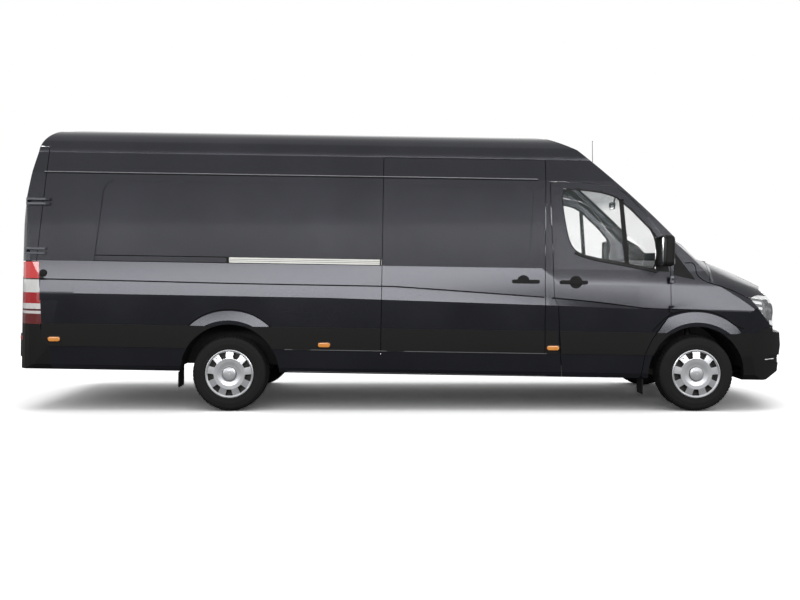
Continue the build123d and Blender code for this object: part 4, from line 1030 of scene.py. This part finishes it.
# paths are x and y in the drawing, dropped onto the body; profiles are metres along the axis and their radii
screenLook = {
    "cowl": [(2795, -700), (2805, -350), (2808, 0), (2805, 350), (2795, 700)],
    "cowlStrip": {"width": 60, "proud": 6, "gap": 50, "foot": -12},
    "arms": [[(2800, 560), (2745, 300), (2712, 60)], [(2800, -60), (2745, -300), (2712, -560)]],
    "armRadius": 0.008, "armLift": 20,
    "blades": [[(2712, 330), (2700, 60), (2694, -190)], [(2708, -280), (2694, -560), (2690, -680)]],
    "bladeSize": (0.010, 0.018, 0.003), "bladeLift": 9,
    "pathPoints": 14,
    "pivots": ((2800, 560), (2800, -60)), "pivotSteps": 24,
    "pivotProfile": [(-.01, 0), (-.01, .02), (.02, .018), (.028, .012), (.028, 0)],
    "jets": ((2880, -330), (2880, 330)), "jetSteps": 20,
    "jetProfile": [(-.01, 0), (-.01, .013), (.010, .012), (.016, .006), (.016, 0)],
    "ridge": [(2860, 330), (3100, 300), (3330, 250)],
    "ridgeStrip": {"width": 10, "proud": 2.0, "gap": 40},
}
aerialLook = {
    "foot": (1888, 0, 2362), "tip": (1881, 0, 2655), "steps": 20,
    "profile": [
        (-.03, 0), (-.03, .022), (.004, .022), (.012, .012), (.03, .006), (.05, .0032),
        (.285, .0026), (.288, .0042), (.294, .0042), (.296, 0)],
}
skyward = (0, 0, 1)


def overTop(path, lift):
    # a path seen from above, rounded off and laid on the body
    return onTop(*even(smooth(path, 2), screenLook["pathPoints"]).T, lift)


def standing(places, profile, steps):
    # a turned form that stands on the body at each place
    return [turned(onTop([x], [y])[0], skyward, profile, steps) for x, y in places]


look = screenLook
cowl = strip(look["cowl"], onTop, skyward, **look["cowlStrip"])
addPiece("cowl", [cowl], finishes["plastic"])
arms = [carried(overTop(arm, look["armLift"]), roundBar(look["armRadius"]), skyward) for arm in look["arms"]]
bladeSection = softBox(*look["bladeSize"])
blades = [carried(overTop(blade, look["bladeLift"]), bladeSection, skyward) for blade in look["blades"]]
pivots = standing(look["pivots"], look["pivotProfile"], look["pivotSteps"])
addPiece("wipers", arms + blades + pivots, finishes["plastic"])
jets = standing(look["jets"], look["jetProfile"], look["jetSteps"])
addPiece("washerJets", jets, finishes["plastic"], "bonnet")
mastFoot = placed(*aerialLook["foot"])
mast = turned(mastFoot, placed(*aerialLook["tip"]) - mastFoot, aerialLook["profile"], aerialLook["steps"])
addPiece("aerial", [mast], finishes["smoothPlastic"])
ridgeLines = [[(x, s * y) for x, y in look["ridge"]] for s in (-1, 1)]
bonnetRidges = [strip(line, onTop, skyward, **look["ridgeStrip"]) for line in ridgeLines]
addPiece("bonnetRidges", bonnetRidges, finishes["bodyPaint"], "bonnet")
print("the screen has its wipers")

# ---- nose: grille bars, blank badge, lamps behind their lenses, fog lamps

# places are y and z in the drawing, or x and z for the line on the bumper; radii and profiles are in metres
noseLook = {
    "bars": (878, 932, 988, 1040), "barPlaces": (-430, -215, 0, 215, 430),
    "barStrip": {"width": 11, "proud": 3.0, "gap": 40},
    "badge": (0, 932), "badgeOut": 0.006, "badgeLift": 1, "badgeSteps": 48,
    "badgeProfile": [
        (-.03, 0), (-.03, .066), (.004, .066), (.008, .062), (.008, .055), (.005, .051), (.006, 0)],
    "fog": (755, 510), "fogSplay": 0.25, "fogSteps": 36,
    "fogProfile": [(-.02, .036), (.002, .038), (.004, .034), (.006, .02), (.007, 0)],
    "bumperLine": [(3318, 511), (3436, 511)],
    "bumperStrip": {"width": 9, "proud": 3, "rounds": 0, "gap": 20},
    "lips": (424, 568), "lipPlaces": (-505, -250, 0, 250, 505),
    "lipStrip": {"width": 9, "proud": 3.0, "gap": 40},
}

# each bowl: its place across, its height and its radius; then depths and radii as shares of that radius
lampLook = {
    "bowls": ((585, 945, 0.075), (735, 955, 0.062), (800, 905, 0.03)), "inset": 0.012, "steps": 40,
    "bowlProfile": [(-0.65, 0), (-0.6, 0.35), (-0.35, 0.75), (0, 1)],
    "rimProfile": [(-.004, 0), (0, 0), (.002, .004), (0, .008), (-.006, .006)],
    "splayFrom": 470, "splayReach": 1400,
}
ahead = (1, 0, 0)


def noseLines(heights, places, settings):
    # level strips across the nose, one at each height
    lines = [[(y, z) for y in places] for z in heights]
    return [strip(line, onNose, ahead, **settings) for line in lines]


look = noseLook
addPiece("grilleBars", noseLines(look["bars"], look["barPlaces"], look["barStrip"]), finishes["chrome"])
y, z = look["badge"]
badge = onNose([y], [z], look["badgeLift"])[0] + np.array((look["badgeOut"], 0, 0))
disc = turned(badge, ahead, look["badgeProfile"], look["badgeSteps"])
addPiece("blankBadge", [disc], finishes["highlightBeadAndBadge"])
for side in sides:
    s = sides[side]
    bowls, rims = [], []
    for y, z, radius in lampLook["bowls"]:
        face = onNose([s * y], [z])[0] - np.array((lampLook["inset"], 0, 0))
        way = (1.0, s * (y - lampLook["splayFrom"]) / lampLook["splayReach"], 0.0)
        bowls.append(turned(face, way, np.array(lampLook["bowlProfile"]) * radius, lampLook["steps"]))
        rims.append(turned(face, way, np.array(lampLook["rimProfile"]) + (0, radius), lampLook["steps"]))
    addPiece(f"lampBowls.{side}", bowls, finishes["chrome"])
    addPiece(f"lampRims.{side}", rims, finishes["smoothPlastic"])
    y, z = look["fog"]
    fogWay = (1, s * look["fogSplay"], 0)
    fogLamp = turned(onNose([s * y], [z])[0], fogWay, look["fogProfile"], look["fogSteps"])
    addPiece(f"fogLamp.{side}", [fogLamp], finishes["whiteLens"])
    bright = flankStrip(look["bumperLine"], side, **look["bumperStrip"])
    addPiece(f"bumperLine.{side}", [bright], finishes["chrome"])
lips = noseLines(look["lips"], look["lipPlaces"], look["lipStrip"])
addPiece("intakeLips", lips, finishes["smoothPlastic"])
print("the nose has its bars and lamps")

# ---- tail: handle, lock, third brake lamp, reflectors and door panels

# places are y and z in the drawing; sizes of the handle and profiles are in metres
tailLook = {
    "handle": (-60, 1330), "handleOut": 0.02, "handleReach": 0.08, "handleSize": (0.03, 0.022, 0.008),
    "handlePlate": [(-60, 1450), (-60, 1330), (-60, 1210)],
    "plateStrip": {"width": 70, "proud": 4, "gap": 20, "foot": -3},
    "lock": (-60, 1180), "lockSteps": 24,
    "lockProfile": [(-.01, 0), (-.01, .016), (.003, .016), (.005, .012), (.005, 0)],
    "brake": [(-150, 2470), (0, 2470), (150, 2470)],
    "brakeStrip": {"width": 34, "proud": 8, "rounds": 0, "gap": 20, "foot": -8},
    "reflector": [(780, 600), (880, 600)],
    "reflectorStrip": {"width": 34, "proud": 3, "rounds": 0, "gap": 20, "foot": -4},
    "panel": [(90, 2280), (690, 2270), (735, 1900), (745, 1450), (90, 1450)],
    "panelStrip": {"width": 9, "proud": 1.6, "closed": True, "rounds": 3, "gap": 30},
}
astern = (-1, 0, 0)


def onSide(line, side):
    return [(sides[side] * y, z) for y, z in line]


look = tailLook
y, z = look["handle"]
grip = onTail([y], [z])[0] + np.array([(-look["handleOut"], 0, end * look["handleReach"]) for end in (1, -1)])
handle = carried(grip, softBox(*look["handleSize"]), ahead)
plateBack = strip(look["handlePlate"], onTail, astern, **look["plateStrip"])
addPiece("rearHandle", [handle, plateBack], finishes["plastic"], "rear_door_right")
y, z = look["lock"]
lock = turned(onTail([y], [z])[0], astern, look["lockProfile"], look["lockSteps"])
addPiece("rearLock", [lock], finishes["chrome"], "rear_door_right")
brake = strip(look["brake"], onTail, astern, **look["brakeStrip"])
addPiece("highBrakeLamp", [brake], finishes["redLens"])
for side in sides:
    spot = strip(onSide(look["reflector"], side), onTail, astern, **look["reflectorStrip"])
    addPiece(f"rearReflector.{side}", [spot], finishes["redLens"])
    panel = strip(onSide(look["panel"], side), onTail, astern, **look["panelStrip"])
    addPiece(f"doorPanelLine.{side}", [panel], finishes["bodyPaint"], f"rear_door_{side}")
print("the tail has its handle and lamps")

# ---- cab: padded seats, dash and inner mirror

# in metres: the remesh's cell, and how far the cloth may move a point; the rest shape the pads' forms
seatLook = {
    "voxel": 0.010, "pressure": 4.0, "steps": 14, "cap": 0.012, "fill": 0.8,
    "rows": 40, "columns": 80, "square": 0.32, "grooveWidth": 0.05, "grooveDepth": 0.16, "crown": 0.12,
}


def bent(values, power):
    # a power that keeps the sign
    return np.sign(values) * np.abs(values) ** power


def padForm(centre, length, width, height, square, channels):
    # a rounded block: powers of sine and cosine below one square its corners; channels are grooves across it
    look = seatLook
    rises = np.linspace(-math.pi / 2, math.pi / 2, look["rows"])
    turns = np.linspace(-math.pi, math.pi, look["columns"], endpoint=False)
    rise, turn = np.meshgrid(rises, turns, indexing="ij")
    level = bent(np.cos(rise), square)
    a, b = level * bent(np.cos(turn), square), level * bent(np.sin(turn), square)
    c = bent(np.sin(rise), square)
    groove = sum((np.exp(-((a - place) / look["grooveWidth"]) ** 2) for place in channels), np.zeros_like(a))
    c = c * (1 - look["grooveDepth"] * groove - look["crown"] * a * a - look["crown"] * b * b)
    points = np.asarray(centre) + a[..., None] * np.asarray(length)
    points = points + b[..., None] * np.asarray(width) + c[..., None] * np.asarray(height)
    return net(points, False, True)


def swollen(name, form):
    # the pad filled by pressure in a cloth simulation, its points kept within the cap of where they began
    piece = bpy.data.objects.new(name, meshOf(name, [form]))
    bpy.context.scene.collection.objects.link(piece)
    view = bpy.context.view_layer
    view.objects.active = piece
    remesh = piece.modifiers.new("remesh", "REMESH")
    remesh.mode = "VOXEL"
    remesh.voxel_size = seatLook["voxel"]
    plain = bpy.data.meshes.new_from_object(piece.evaluated_get(view.depsgraph))
    piece.modifiers.clear()
    piece.data = plain
    start = np.zeros(len(plain.vertices) * 3)
    plain.vertices.foreach_get("co", start)
    cloth = piece.modifiers.new("cloth", "CLOTH")
    cloth.settings.use_pressure = True
    cloth.settings.uniform_pressure_force = seatLook["pressure"]
    cloth.settings.effector_weights.gravity = 0.0
    for step in range(1, seatLook["steps"] + 1):
        bpy.context.scene.frame_set(step)
    moved = bpy.data.meshes.new_from_object(piece.evaluated_get(bpy.context.evaluated_depsgraph_get()))
    end = np.zeros_like(start)
    moved.vertices.foreach_get("co", end)
    bpy.context.scene.frame_set(1)
    piece.modifiers.clear()
    way = (end - start).reshape(-1, 3)
    far = np.linalg.norm(way, axis=1, keepdims=True)
    way *= np.minimum(1, seatLook["cap"] / np.maximum(far, 1e-9))
    plain.vertices.foreach_set("co", (start.reshape(-1, 3) + way).ravel())
    plain.shade_smooth()
    piece.data.materials.append(finishes["seatCloth"])
    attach(piece, "body")
    return piece


def alongSeat(start, end, half):
    # half the way between two drawing places, in metres
    return (placed(end[0], 0, end[1]) - placed(start[0], 0, start[1])) * half


# each seat reaches between two places across the van, and so does each of its head restraints
seats = {
    "driver": {"reach": (200, 700), "rests": [(330, 570)], "stands": "driver_seat"},
    "passenger": {"reach": (-730, 120), "rests": [(-620, -400), (-210, 10)], "stands": "passenger_seats"},
}

# middles and ends are x and z in the drawing; the share is how much of the way between two ends a pad fills
padLook = {
    "cushion": {"middle": (1662, 866), "length": ((1437, 862), (1890, 872)), "lengthShare": 0.49,
                "height": ((1660, 826), (1660, 912)), "heightShare": 0.44, "channels": (-0.45, 0.3)},
    "back": {"middle": (1441, 1232), "length": ((1484, 905), (1402, 1555)), "lengthShare": 0.49,
             "height": ((1398, 1228), (1494, 1240)), "heightShare": 0.44, "channels": (-0.5, 0.1, 0.6)},
    "rest": {"middle": (1393, 1678), "length": ((1393, 1575), (1385, 1786)), "lengthShare": 0.46,
             "height": ((1352, 1680), (1436, 1680)), "heightShare": 0.42, "channels": (), "square": 0.42},
    "sideGap": 0.014, "restWidth": 2100,
    "rods": (1398, 1393), "rodHeights": (1530, 1610), "rodSpread": 60, "rodRadius": 0.006,
    "frame": ((1450, 790), (1880, 832)), "frameInset": 20,
}


def padOf(kind, middle, halfWide):
    look = padLook[kind]
    x, z = look["middle"]
    length = alongSeat(*look["length"], look["lengthShare"])
    height = alongSeat(*look["height"], look["heightShare"])
    square = look.get("square", seatLook["square"])
    return padForm(placed(x, middle, z), length, halfWide, height, square, look["channels"])


for name, seat in seats.items():
    low, high = seat["reach"]
    middle, halfWide = (low + high) / 2, np.array([0, (high - low) / 2000 - padLook["sideGap"], 0])
    cushion = swollen(f"seatCushion.{name}", padOf("cushion", middle, halfWide))
    swollen(f"seatBack.{name}", padOf("back", middle, halfWide))
    for k, (a, b) in enumerate(seat["rests"]):
        centre, spread = (a + b) / 2, padLook["rodSpread"]
        swollen(f"headRest.{name}.{k}", padOf("rest", centre, (0, (b - a) / padLook["restWidth"], 0)))
        sidesOfRest = (centre - spread, centre + spread)
        paths = [placed(padLook["rods"], y, padLook["rodHeights"]) for y in sidesOfRest]
        rods = [carried(path, roundBar(padLook["rodRadius"])) for path in paths]
        addPiece(f"headRestRods.{name}.{k}", rods, finishes["chrome"])
    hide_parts(seat["stands"])
    (x1, z1), (x2, z2) = padLook["frame"]
    base = block((x1, low + padLook["frameInset"], z1), (x2, high - padLook["frameInset"], z2))
    addPiece(f"seatFrame.{name}", [base], finishes["cabPlastic"])
print("the seats are padded")

# the binnacle and vents on the dash and the inner mirror: places in the drawing, sizes in metres
dashLook = {
    "binnacle": ((2190, 1330), (2260, 1350), (2340, 1338)), "binnacleOut": 0.45,
    "binnacleSize": (0.36, 0.06, 0.028),
    "vents": (-640, -80, 90, 660), "ventDepth": (2168, 2190), "ventHeight": 1250,
    "ventSize": (0.15, 0.085, 0.02),
    "slatDepth": (2164, 2172), "slatPitch": 16, "slatSize": (0.132, 0.004, 0.0018),
}
innerMirrorLook = {
    "out": -20, "height": 1985, "depth": (2098, 2086), "size": (0.23, 0.075, 0.03),
    "glassDepth": (2085, 2083), "glassSize": (0.215, 0.062, 0.026),
    "stalk": ((2090, 1985), (2110, 2030), (2122, 2068)), "stalkRadius": 0.008,
}

look = dashLook
x, z = np.array(look["binnacle"], float).T
binnaclePath = placed(x, 0, z) + np.array([0, look["binnacleOut"], 0])
hood = [carried(binnaclePath, softBox(*look["binnacleSize"], 6))]
ventSection, slatSection = softBox(*look["ventSize"], 5), softBox(*look["slatSize"], 3)
vents = [carried(placed(look["ventDepth"], y, look["ventHeight"]), ventSection) for y in look["vents"]]
slatSteps = [k * look["slatPitch"] for k in (-2, -1, 0, 1, 2)]
slatPlaces = [(y, look["ventHeight"] + step) for y in look["vents"] for step in slatSteps]
slats = [carried(placed(look["slatDepth"], y, height), slatSection) for y, height in slatPlaces]
addPiece("dashDetail", hood + vents, finishes["cabPlastic"])
addPiece("dashSlats", slats, finishes["smoothPlastic"])
look = innerMirrorLook
mirror = carried(placed(look["depth"], look["out"], look["height"]), softBox(*look["size"], 7))
x, z = np.array(look["stalk"], float).T
stalk = carried(placed(x, look["out"], z), roundBar(look["stalkRadius"]), (0, 1, 0))
addPiece("innerMirror", [mirror, stalk], finishes["smoothPlastic"])
innerGlass = carried(placed(look["glassDepth"], look["out"], look["height"]), softBox(*look["glassSize"], 7))
addPiece("innerMirrorGlass", [innerGlass], finishes["mirrorGlass"])
print("the cab has its fittings")
